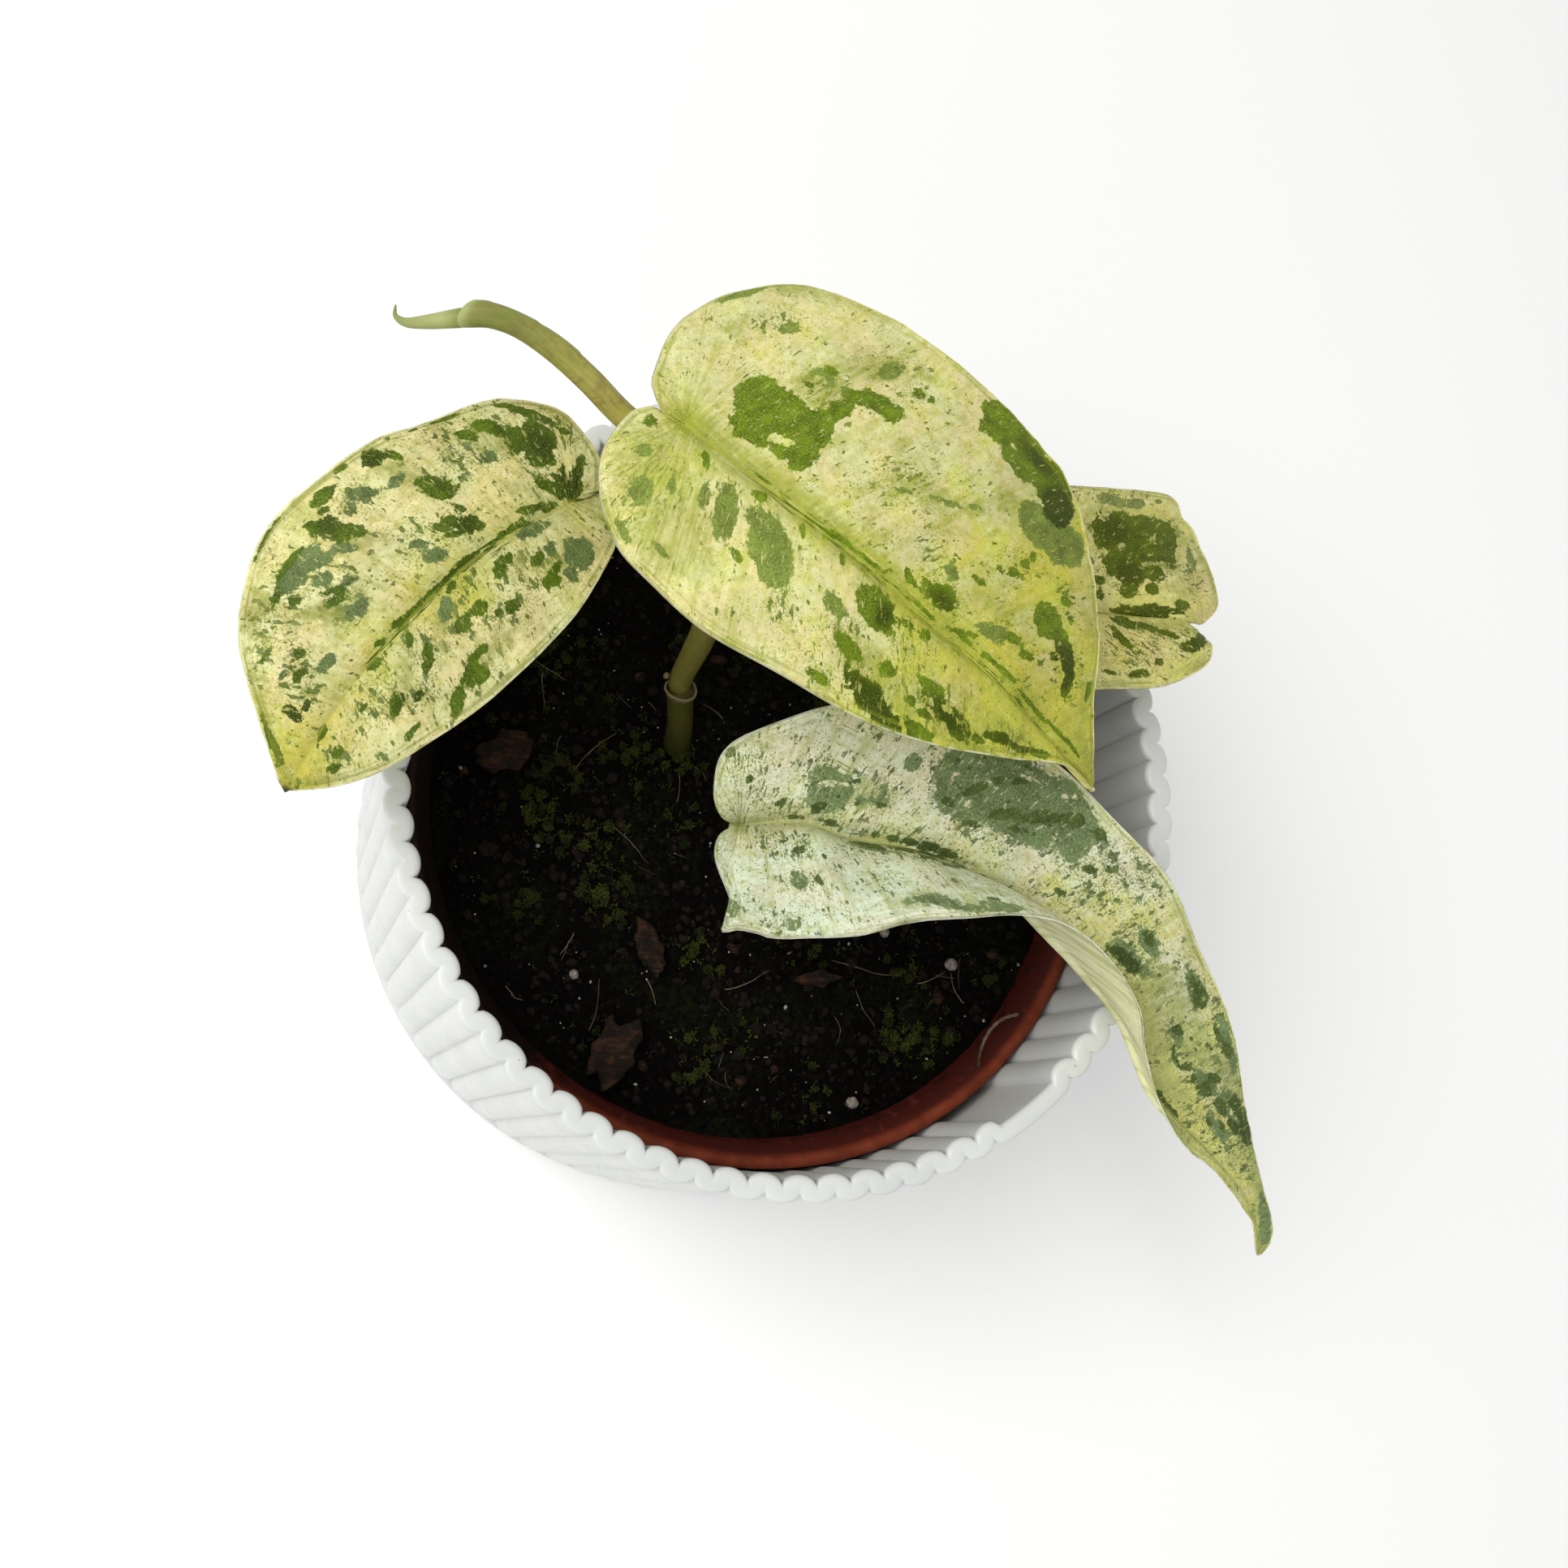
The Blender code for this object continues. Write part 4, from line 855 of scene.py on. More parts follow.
            (11.4, 2.4, 1.2, 0.6, 50), (14.2, 8, 1, 0.6, 60), (20.8, 5.4, 0.9, 0.6, 0),
            (16.4, 5.2, 0.8, 0.5, 0), (29.4, 1.2, 1.9, 0.9, 5), (32.6, 1.1, 1.7, 0.8, 0),
            (26.6, 1, 1.2, 0.6, 0), (24, 0.8, 0.9, 0.5, 0), (21, 1, 0.8, 0.6, 0), (13.4, 1.1, 1.4, 0.6, 10),
            (8.5, 0.7, 1.5, 0.4, 0), (66, 5.8, 3, 1.2, 8), (62.8, 5.2, 1.5, 0.6, 0),
            (66.2, 10.7, 1.3, 1, 0), (77.4, 7.6, 1.4, 0.9, 30), (80.4, 6, 0.8, 0.6, 0),
            (83, 5.6, 1.8, 0.6, 0), (85.2, 6.8, 1.4, 0.9, 20), (88.4, 6.3, 1.2, 0.6, 0),
            (92, 6.6, 2.4, 1.2, 0), (91.4, 9, 2.1, 0.9, 10), (82, 14.4, 2, 0.7, 0),
            (88, 14.4, 3.2, 1.3, -10), (84.6, 11.8, 1.5, 0.6, 10), (74.4, 13.6, 1.9, 1.5, 0),
            (99.6, 8.6, 2.6, 1.2, 0), (103.6, 7.8, 2.6, 1.5, -25), (97, 6.6, 2, 1, 0),
            (101, 5.8, 2, 0.8, 0), (105.4, 6.2, 1.3, 0.9, 0), (87, 0.5, 1.9, 0.6, 0),
            (90, 0.4, 1.4, 0.6, 0), (96.6, 3.2, 0.9, 0.6, 0), (99.5, 4.2, 0.9, 0.6, 0),
            (50.4, 5.4, 1.1, 0.6, 20), (52, 11.4, 1.5, 0.8, 30), (53.6, 13.6, 0.9, 0.5, 20),
            (50.8, 16.6, 1.3, 0.6, 60), (-0.4, 12.6, 0.7, 0.8, 0), (6.4, 3, 1.1, 0.6, 20),
            (8.6, -6.6, 1.2, 0.8, 30), (6.6, -4.6, 0.9, 0.5, 40), (12.4, -13, 2, 0.6, -50),
            # The dark strokes at (20, -1.8), (25.4, -1.6), (29.6, -2.4) and (33, -3), beside the midrib's
            # lower side, are painted shade in the fold.
            (13.4, -7.4, 1, 0.6, 40), (20, -1.8, 2.8, 0.8, -8), (25.4, -1.6, 2.6, 0.7, -5),
            (29.6, -2.4, 2, 0.8, 30), (33, -3, 2.4, 0.8, 30), (37.6, -12.8, 1.2, 0.5, 10),
            (2, 7.4, 0.6, 0.8, 0)],
        "grey": [(33, 11, 4.6, 4.8, 0), (36.5, 15, 6.4, 3.4, 20), (41.5, 14, 6.4, 4.6, 0),
            (46.6, 15.6, 4.2, 4, 20), (40.5, 9.4, 6.2, 2.4, 5), (31, 8.6, 2.6, 2.4, 0),
            (48.6, 12.4, 1.8, 3, -20), (24.6, 12.4, 2, 1.5, -20), (16.8, 5.8, 1.2, 0.8, 0),
            (19.8, 6.8, 2.2, 1.6, 10), (12.5, 5.2, 3.5, 2.1, 64), (74, 13.4, 2.3, 1.8, 0),
            (85, 15.4, 6, 1.4, -10), (92, 14, 3, 1, -20), (91, 7.4, 4, 1.6, 0), (101, 7.6, 6, 2.4, -8),
            (98.6, 3.4, 3, 1.1, 0), (77.6, 7.2, 2.1, 1.4, 20), (66, 6.2, 4, 1.6, 5),
            (66.4, 10.4, 2.1, 1.6, 0), (8.4, -13.2, 1.3, 1.8, 0), (7, -21.2, 1.4, 1.2, 20),
            (-1.6, -18, 1, 2, 10), (38.4, -15.2, 3.4, 1.8, 0), (3, -21.6, 1, 0.5, 0),
            # The grey patch at (20, -2.4), beside the midrib's lower side, is painted shade in the fold.
            (20, -2.4, 3.4, 1.1, -10), (28.5, -15, 4.2, 1.5, -4), (33, -16.2, 3, 1, 0),
            (119, 1.6, 5, 1.1, -12)],
        "soft": [(27, -14.8, 3.6, 2.2, 0), (34, -15.2, 5, 2, -4), (40, -14.8, 3, 1.6, 0),
            (36, -10.5, 5, 1.2, 0), (75, 4, 7, 3, 0), (107, 7, 5, 2.4, -20), (86, 3, 7, 1.6, 0),
            (72, 8, 4, 3, 0), (4.6, 12.6, 1.8, 0.7, -30), (118, 2, 7, 2, -15), (80, 10, 8, 3, 0),
            (95, 11, 7, 2, -20), (88, -3, 5, 1, 10), (112, 4, 5, 1.4, -15), (18, 6.5, 5, 2.4, 0)],
        "gap": [(19.4, 7.2, 1, 0.6, 0), (12.6, 6.4, 1.8, 0.3, 40), (33, 9, 1.6, 0.4, 40),
            (36.6, 12.8, 2, 0.35, -20), (41, 16.4, 2.4, 0.35, 10), (31, 12, 1, 0.5, 60),
            (46.8, 17, 2, 0.3, 40), (100, 7.2, 2, 0.3, 0)],
        "crowd": [(31, 10, 4, 5, 0), (36, 12, 9, 8, 0), (48, 13, 5, 6, -20), (18, 7, 5, 4, 0),
            (12.5, 5, 3.5, 5, 0), (28, 1.2, 9, 1.5, 0), (7, 2.5, 3, 2, 0), (9, -6, 2.5, 2.5, 0),
            (10, -12.5, 3.5, 2, -20), (66, 8, 5, 5, 0), (80, 7, 6, 3, 0), (93, 7, 8, 4, 0),
            (98, 3, 8, 3, 0), (84, 14, 8, 3, -8), (55, 12, 5, 5, 0), (24, -2.5, 8, 1.8, 0),
            (2, 8, 2.5, 5, 20), (60, 17, 6, 2, -15), (74, 13, 3, 3, 0), (52, 5, 4, 2, 20),
            (6, -21, 4, 1.6, 0), (105, 5, 6, 4, 0), (4, -4, 2.5, 3, 0), (88, 10, 10, 4, 0)],
        "shade": [(66, 5.8, 4, 1.6, 8), (30, 1.2, 4, 1.2, 0), (12, 4, 3, 2, 65), (104, 7, 4, 2, 0)],
    },
}


def blade_sheet(plan):
    """The middle surface of a blade, with each point's place on the pressed-flat blade."""
    base = np.array(plan["base"], float)
    midrib = smooth_curve([base, *(base + np.array(plan["midrib"]))], MIDRIB_STEPS)
    length = np.linalg.norm(np.diff(midrib, axis=0), axis=1).sum()
    heading = np.gradient(midrib, axis=0)
    sheet = {"points": [base], "flat": [(0, 0)], "rib": [(0, 0)], "across": [0.0], "share": [0.0]}
    index = {}
    tip = None

    def add(**place):
        for key, value in place.items():
            sheet[key].append(value)
        return len(sheet["points"]) - 1

    for side, sign, lobe in (("upper", 1, plan["lobes"][0]), ("lower", -1, plan["lobes"][1])):
        margin = smooth_curve([base, *(base + np.array(plan[side])), midrib[-1]], MARGIN_STEPS)
        for i in range(ROWS + 1):
            share = i / ROWS
            past_fan = max(0.0, (share - FAN) / (1 - FAN))
            in_fan = min(1.0, share / FAN)
            at_root = past_fan ** VEIN_SWEEP
            root = at_share(midrib, at_root)
            edge = at_share(margin, lobe * in_fan + (1 - lobe) * past_fan)
            width = np.linalg.norm(edge - root)
            ahead = at_share(heading, at_root)
            turned = (edge - root) @ ahead / max(1e-6, width * np.linalg.norm(ahead))
            bearing = math.acos(np.clip(turned, -1, 1))
            for j in range(COLUMNS + 1):
                if i == 0:
                    place = 0
                elif i == ROWS:
                    if tip is None:
                        end = (length, 0)
                        tip = add(points=midrib[-1], flat=end, rib=end, across=0.0, share=0.0)
                    place = tip
                elif j == 0 and sign < 0:
                    place = index[1, i, 0]
                else:
                    v = j / COLUMNS
                    reach = v * width
                    arch = np.array((0, 0, CROWN * width * 4 * v * (1 - v)))
                    on_flat = (length * at_root + reach * math.cos(bearing), sign * reach * math.sin(bearing))
                    place = add(points=root + (edge - root) * v + arch, flat=on_flat,
                                rib=(length * share, sign * reach), across=reach, share=v)
                index[sign, i, j] = place
    faces = []
    for sign in (1, -1):
        for i in range(ROWS):
            for j in range(COLUMNS):
                corners = ((i, j), (i, j + 1), (i + 1, j + 1), (i + 1, j))
                face = list(dict.fromkeys(index[sign, *corner] for corner in corners))
                if len(face) > 2:
                    faces.append(face if sign > 0 else face[::-1])
    rim = [index[1, i, COLUMNS] for i in range(1, ROWS)] + [tip]
    rim += [index[-1, i, COLUMNS] for i in range(ROWS - 1, 0, -1)] + [0]
    sheet = {key: np.array(values) for key, values in sheet.items()}
    return {**sheet, "faces": faces, "rim": rim, "length": length}


def blotch_field(flat, blotches):
    """The distance inside the nearest blotch, in millimetres, and negative outside them all."""
    field = np.full(len(flat), -9.0)
    for along, across, half_length, half_width, turn in blotches:
        lean = math.radians(turn)
        x, y = flat[:, 0] - along, flat[:, 1] - across
        u = (x * math.cos(lean) + y * math.sin(lean)) / half_length
        w = (-x * math.sin(lean) + y * math.cos(lean)) / half_width
        field = np.maximum(field, (1 - np.hypot(u, w)) * max(1.4, min(half_length, half_width)))
    return field


def edge_distance(points, rim):
    """Each point's distance to the margin, in millimetres."""
    margin = points[rim]
    nearest = np.full(len(points), 99.0)
    for start in range(0, len(points), BATCH):
        gap = points[start:start + BATCH, None] - margin[None]
        nearest[start:start + BATCH] = np.sqrt((gap ** 2).sum(axis=2)).min(axis=1)
    return nearest


VEIN_DEPTH = 0.22
FURROW_DEPTH = 0.55       # of the midrib, above
RIDGE_HEIGHT = 0.9        # of the midrib, below
LIP_REACH = 0.12          # how far the margin's middle line stands out


def build_leaf(name, finish, relief, wave, warm_tip, streak, heart, green, seed, warm_from=0.3, brown_tip=0.0,
               cool=0.0):
    """A closed blade: sunk midrib and side veins above, the midrib standing out below."""
    sheet = blade_sheet(LEAVES[name])
    points, faces, rim = sheet["points"], sheet["faces"], sheet["rim"]
    normals = point_normals(points, faces)
    if normals[:, 2].sum() < 0:
        normals = -normals
        faces = [face[::-1] for face in faces]
    flat, rib, across, share, length = (sheet[k] for k in ("flat", "rib", "across", "share", "length"))
    phase = rib[:, 0] / length * SIDE_VEINS
    furrow = np.abs(np.sin(math.pi * phase)) ** 0.5 - 0.72
    height = VEIN_DEPTH * relief * furrow * np.sin(math.pi * np.clip(share, 0, 1)) ** 0.7
    height -= FURROW_DEPTH * relief * np.exp(-(across / 1.1) ** 2) * np.clip(flat[:, 0] / 4, 0, 1)
    height += 0.35 * relief * noise_at(np.c_[flat, np.zeros(len(flat))], 11, seed)
    height += wave * share ** 3 * np.sin(rib[:, 0] / 5.5 + seed + np.sign(rib[:, 1]))
    height += 0.45 * wave * share ** 4 * noise_at(np.c_[rib, np.zeros(len(rib))], 3.2, seed + 2)
    middle = points + normals * height[:, None]
    normals = point_normals(middle, faces)

    taper = np.clip(1.15 - share, 0.35, 1) * BLADE / 2
    above = middle + normals * taper[:, None]
    ridge = RIDGE_HEIGHT * np.exp(-(across / 1.0) ** 2) * np.clip(1 - flat[:, 0] / length, 0, 1) ** 0.7
    ridge *= np.clip(flat[:, 0] / 2.5, 0, 1)            # it rises out of the stalk, not at the notch
    below = middle - normals * (taper + ridge)[:, None]
    count = len(points)
    outward = middle[rim] - middle.mean(axis=0)
    outward -= normals[rim] * (outward * normals[rim]).sum(axis=1)[:, None]
    outward /= np.linalg.norm(outward, axis=1)[:, None]
    lip = middle[rim] + LIP_REACH * outward
    solid = np.vstack([above, below, lip])
    closed = [tuple(face) for face in faces] + [tuple(count + i for i in face[::-1]) for face in faces]
    for k in range(len(rim)):
        a, b = rim[k], rim[(k + 1) % len(rim)]
        la, lb = 2 * count + k, 2 * count + (k + 1) % len(rim)
        closed.append((a, la, lb, b))
        closed.append((la, count + a, count + b, lb))

    def spread(value, lip_value=None):
        value = np.asarray(value)
        return np.concatenate([value, value, value[rim] if lip_value is None else lip_value])

    run = np.clip(flat[:, 0] / length, 0, 1)
    from_base = np.hypot(flat[:, 0], flat[:, 1])
    unrimmed = 3 * np.exp(-(from_base / 3.0) ** 2)      # no pale rim where the margins meet the stalk
    warm = 0.45 * np.exp(-(across / 6) ** 2) + warm_tip * np.clip((run - warm_from) / 0.35, 0, 1)
    first, last = streak
    fields = {kind: blotch_field(flat, spots) for kind, spots in BLOTCHES[name].items()}
    for kind in ("dark", "grey"):
        fields[kind] = np.minimum(fields[kind], -fields["gap"])
    values = {kind: spread(fields[kind]) for kind in ("dark", "grey", "soft", "crowd", "shade")}
    values["warm"] = spread(warm)
    values["edge"] = spread(edge_distance(points, rim) + unrimmed, unrimmed[rim])
    values["mid"] = spread(across)
    values["streak"] = spread(np.clip((run - first) * 8, 0, 1) * np.clip((last - run) * 8, 0, 1))
    values["heart"] = spread(heart * np.exp(-(from_base / 5.5) ** 2) + 1.1 * np.exp(-(from_base / 1.6) ** 2))
    values["green"] = spread(green * np.clip((0.85 - run) / 0.45, 0, 1))
    values["cool"] = spread(cool * np.clip(-flat[:, 1] / 6, 0, 1) * np.clip((0.42 - run) / 0.15, 0, 1))
    values["brown"] = spread(brown_tip * np.clip((run - 0.975) / 0.02, 0, 1))
    off_base = 1 - np.exp(-(from_base / 2.0) ** 2)      # round the notch both faces are green
    values["under"] = np.concatenate([np.zeros(count), off_base, 0.4 * off_base[rim]])
    uvs = {"blade": spread(flat) + (seed * 37, seed * 21), "rib": spread(rib) + (seed * 53, 0)}
    return make_piece(name + "_blade", solid, closed, finish, [name], uvs, values)


# ---------------------------------------------------------------- pots

FLUTES = 72
FIRST_FLUTE = 14.67       # degrees
PANEL_ANGLE = -53.2       # the plain panel's middle
PANEL_HALF = 5.4
TAPER = 3.2
FLUTE_DEPTH = 1.4
INNER_DEPTH = 1.5
WALL = 2.9
RIM_RADIUS = 65.0         # outer crest of a flute at the rim
FLUTE_STEPS = 12          # points round one flute
FOOT_RADIUS = 61.2
NECK_RADIUS = 59.7        # between the foot ring and the flutes
FLUTES_START = 4.3        # the height where they swell out of the neck
FLUTES_END = 9.0          # the height where they are at their full depth
FLOOR_LEVEL = 5.0         # the cachepot's floor inside
NURSERY_AROUND = 192      # points round the nursery pot


def panel_share(angle):
    """1 on the plain panel, falling to 0 over a degree beside it."""
    off = np.abs((angle - PANEL_ANGLE + 180) % 360 - 180)
    return np.clip((PANEL_HALF + 0.5 - off) / 1.0, 0, 1)


def stacked_rings(rings, angle):
    """Points round the upright axis: a radius and a height for each ring, at the given angles."""
    return np.vstack([np.c_[r * np.cos(angle), r * np.sin(angle), np.full(len(angle), z)] for r, z in rings])


def build_cachepot(finish):
    """Rings of points up the fluted outside, over the flat rim, and down the fluted inside."""
    around = FLUTES * FLUTE_STEPS
    angle = FIRST_FLUTE + 360 * np.arange(around) / around
    phase = math.pi * (angle - FIRST_FLUTE) / 360 * FLUTES
    plain = panel_share(angle)
    outer_wave = np.maximum(np.sqrt(np.abs(np.sin(phase))), plain)
    inner_wave = np.sqrt(np.abs(np.cos(phase))) * (1 - plain)

    def crest(height):
        return RIM_RADIUS - TAPER * (RIM - height) / RIM

    def outer(height, inset=0.0):
        return crest(height) - inset - FLUTE_DEPTH * (1 - outer_wave)

    def inner(height, inset=0.0):
        return crest(height) - WALL + inset - INNER_DEPTH * inner_wave

    def circle(radius):
        return np.full(around, float(radius))

    foot, neck = FOOT_RADIUS, NECK_RADIUS
    rings = [(circle(0.1), 0.0), (circle(30), 0.0), (circle(foot - 0.9), 0.0), (circle(foot - 0.25), 0.25),
             (circle(foot), 0.8), (circle(foot), 2.2), (circle(foot - 0.3), 2.7), (circle(neck), 3.0),
             (circle(neck), 4.2)]
    for t in np.linspace(0.04, 1, 9):
        height = FLUTES_START + (FLUTES_END - FLUTES_START) * t
        grown = math.sqrt(1 - (1 - t) ** 2)
        rings.append((neck + (outer(height) - neck) * grown, height))
    for height in np.linspace(FLUTES_END, RIM - 0.75, 12)[1:]:
        rings.append((outer(height), height))
    for t in np.linspace(0, math.pi / 2, 5)[1:]:
        rings.append((outer(RIM, 0.55 * (1 - math.cos(t))), RIM - 0.08 - 0.55 * (1 - math.sin(t))))
    rings.append((outer(RIM, 0.9), RIM))
    for t in np.linspace(math.pi / 2, 0, 8):
        rings.append((inner(RIM, 1.35 * (1 - math.cos(t))), RIM - 0.95 * (1 - math.sin(t))))
    for height in np.linspace(RIM - 1.3, FLUTES_END, 14):
        rings.append((inner(height), height))
    rings += [(circle(57.0), FLOOR_LEVEL + 1.2), (circle(55.6), FLOOR_LEVEL), (circle(30), FLOOR_LEVEL),
              (circle(0.1), FLOOR_LEVEL)]
    points = stacked_rings(rings, np.radians(angle))
    faces = tube_faces(len(rings), around)
    return make_piece("fluted_cachepot", points, faces, finish, ["cachepot"])


def build_nursery_pot(finish):
    """A thin pot with a rolled lip over a stepped wall, sitting on the cachepot's floor."""
    top, bottom = NURSERY_HIGH[2], NURSERY_LOW[2]
    lip = NURSERY_HIGH[0]
    inside = [(0.1, bottom + 1.2), (42.4, bottom + 1.2), (43.2, bottom + 1.8)]
    for t in np.linspace(0.1, 1, 10):
        inside.append((43.2 + (55.4 - 43.2) * t, bottom + 1.8 + (top - bottom - 4.4) * t))
    inside += [(56.7, top - 1.5), (57.3, top - 0.7), (57.6, top - 0.3)]
    outside = [(57.9, top - 0.06), (58.4, top), (lip - 0.35, top - 0.1), (lip - 0.05, top - 0.4),
               (lip, top - 0.9), (lip - 0.5, top - 5), (lip - 1.0, top - 9), (lip - 1.5, top - 9.2),
               (56.6, top - 9.1), (43.9, bottom + 0.5), (43.3, bottom), (0.1, bottom)]
    profile = inside + outside
    around = NURSERY_AROUND
    points = stacked_rings(profile, turns(around))
    wobble = 0.12 * np.sin(3 * np.arctan2(points[:, 1], points[:, 0]) + 0.7)
    points[:, 2] += np.where(points[:, 2] > top - 6, wobble, 0) - 0.12 * (points[:, 2] > top - 6)
    faces = tube_faces(len(profile), around)
    within = np.repeat(np.arange(len(profile)) < len(inside) + 1, around)
    return make_piece("nursery_pot_shell", points, faces, finish, ["nursery_pot"],
                      values={"inside": within})


# ---------------------------------------------------------------- soil and litter

SOIL_RADIUS = 55.0
SOIL_RINGS = 100
SOIL_AROUND = 300         # points round each ring
CRUMBS = 2300
MOSS_CUSHIONS = 300
MOSS_LEAFLETS = 20000
SPLINTERS = 46
GRIT = 150
FINE_FIBRES = 34


def soil_relief(x, y):
    """Height of the soil above its mean level: hollows, lumps and crumbs."""
    spot = Vector((x, y, 0))
    lumps = cloud_noise(spot / 14, 2)
    cell = noise.voronoi(spot / 3.1)[0][0]
    crumbs = cloud_noise(spot / 1.7, 3)
    return 0.9 * lumps + 0.8 * (0.5 - cell) + 0.45 * crumbs


def soil_top(x, y):
    level = SOIL_HIGH[2] - 1.1
    edge = math.hypot(x, y) / SOIL_RADIUS
    sink = 1.6 + 0.9 * math.sin(math.atan2(y, x) + 1.2) + 0.5 * math.sin(3 * math.atan2(y, x))
    return level + soil_relief(x, y) * (1 - 0.3 * edge ** 6) - sink * edge ** 7


def build_soil(finish):
    """A crumbly surface on a plain body."""
    rings, around = SOIL_RINGS, SOIL_AROUND
    points = []
    for i in range(rings + 1):
        r = SOIL_RADIUS * i / rings
        for k in range(around):
            angle = 2 * math.pi * (k + 0.5 * (i % 2)) / around
            x, y = max(r, 0.05) * math.cos(angle), max(r, 0.05) * math.sin(angle)
            points.append((x, y, soil_top(x, y)))
    under = SOIL_LOW[2] + 0.3
    body = [(54.0, SOIL_HIGH[2] - 6), (44.0, under), (20, under), (0.1, under)]
    points = np.vstack([points, stacked_rings(body, turns(around))])
    faces = tube_faces(rings + 1 + len(body), around)
    return make_piece("soil_bed", points, faces, finish, ["soil"])


def merged(parts):
    """One list of points and faces from many."""
    points, faces, total = [], [], 0
    for part_points, part_faces in parts:
        points.append(np.asarray(part_points))
        faces += [tuple(total + i for i in face) for face in part_faces]
        total += len(part_points)
    return np.vstack(points), faces


def closed_lump(rng, size, flatness, roughness):
    """A rough closed lump round the origin: a shaken icosahedron."""
    points, faces = LUMP
    shake = 1 + roughness * np.array([rng.uniform(-1, 1) for _ in points])
    stretch = np.array([rng.uniform(0.75, 1.25), rng.uniform(0.75, 1.25), flatness])
    turn = rng.uniform(0, 2 * math.pi)
    spin = np.array([[math.cos(turn), -math.sin(turn), 0], [math.sin(turn), math.cos(turn), 0], [0, 0, 1]])
    return (points * shake[:, None] * stretch * size) @ spin.T, faces


def make_lump_base(level):
    builder = bmesh.new()
    bmesh.ops.create_icosphere(builder, subdivisions=level, radius=1)
    points = np.array([tuple(v.co) for v in builder.verts])
    faces = [tuple(v.index for v in face.verts) for face in builder.faces]
    builder.free()
    return points, faces


def on_soil(x, y, lift=0.0):
    return np.array((x, y, soil_top(x, y) + lift))


def random_spot(rng, reach=52.5):
    r, angle = reach * math.sqrt(rng.random()), rng.uniform(0, 2 * math.pi)
    return r * math.cos(angle), r * math.sin(angle)


def lump_on_soil(rng, spot, size, flatness, roughness, lift):
    points, faces = closed_lump(rng, size, flatness, roughness)
    return points + on_soil(*spot, lift), faces


def build_crumbs(finish):
    """Loose crumbs of peat over the whole surface."""
    rng = random.Random(11)
    parts = []
    for _ in range(CRUMBS):
        spot = random_spot(rng)
        size = 0.25 + 0.75 * rng.random() ** 3
        parts.append(lump_on_soil(rng, spot, size, 0.7, 0.25, 0.25 * size))
    points, faces = merged(parts)
    return make_piece("peat_crumbs", points, faces, finish, None)


# Where moss is thickest: middle, reach, how thick, how bright.
MOSS_PATCHES = [(-27, -7, 5, 1.0, 0.8), (-37, -3.5, 4, 0.9, 0.8), (-26, -16.5, 4.5, 1.0, 0.9),
                (-15, -4, 3.5, 0.9, 0.7), (-10, -24, 3.5, 1.0, 0.7), (-1, -37, 4, 0.9, 0.7),
                (-12, -41, 4.5, 0.9, 0.7), (24.5, -36.5, 4.5, 1.2, 1.0), (33.5, -38.5, 4, 1.1, 0.7),
                (28, -28, 3.5, 0.9, 0.6), (-21, 7.5, 6, 0.8, 0.4), (-33, 6.5, 6, 0.7, 0.4),
                (-14, 9, 4, 1.0, 0.4), (-40, -18, 5, 0.5, 0.2), (8, -47, 5, 0.8, 0.4),
                (-34, 26, 7, 0.7, 0.3), (20, 22, 9, 0.7, 0.6), (43, -26, 5, 0.6, 0.2), (36, 8, 8, 0.6, 0.5),
                (-6, 42, 8, 0.7, 0.6), (10, -22, 6, 0.5, 0.3), (-28, -38, 5, 0.4, 0.1)]


MOSS_NODES = [f"moss_{k}" for k in range(1, 7)]


def moss_share(x, y):
    """How thick the moss is at a place, and how bright."""
    thick, lush = 0.06, 0.0
    for mx, my, reach, strength, bright in MOSS_PATCHES:
        near = math.exp(-((x - mx) ** 2 + (y - my) ** 2) / reach ** 2)
        thick += strength * near
        lush += bright * near
    return thick + 0.30 * noise.noise(Vector((x / 5, y / 5, 5.0))), min(1.0, lush)


def leaflet(root, heading, rise, length, width):
    """A closed, flattened, pointed blade: six points and eight faces."""
    ahead = np.array((math.cos(heading) * math.cos(rise), math.sin(heading) * math.cos(rise), math.sin(rise)))
    side = np.array((-math.sin(heading), math.cos(heading), 0))
    up = np.cross(ahead, side)
    middle = root + ahead * length * 0.45
    points = [root, root + ahead * length, middle + side * width, middle - side * width,
              middle + up * 0.22 * width, middle - up * 0.22 * width]
    faces = [(0, 2, 4), (0, 4, 3), (0, 3, 5), (0, 5, 2), (1, 4, 2), (1, 3, 4), (1, 5, 3), (1, 2, 5)]
    return np.array(points), faces


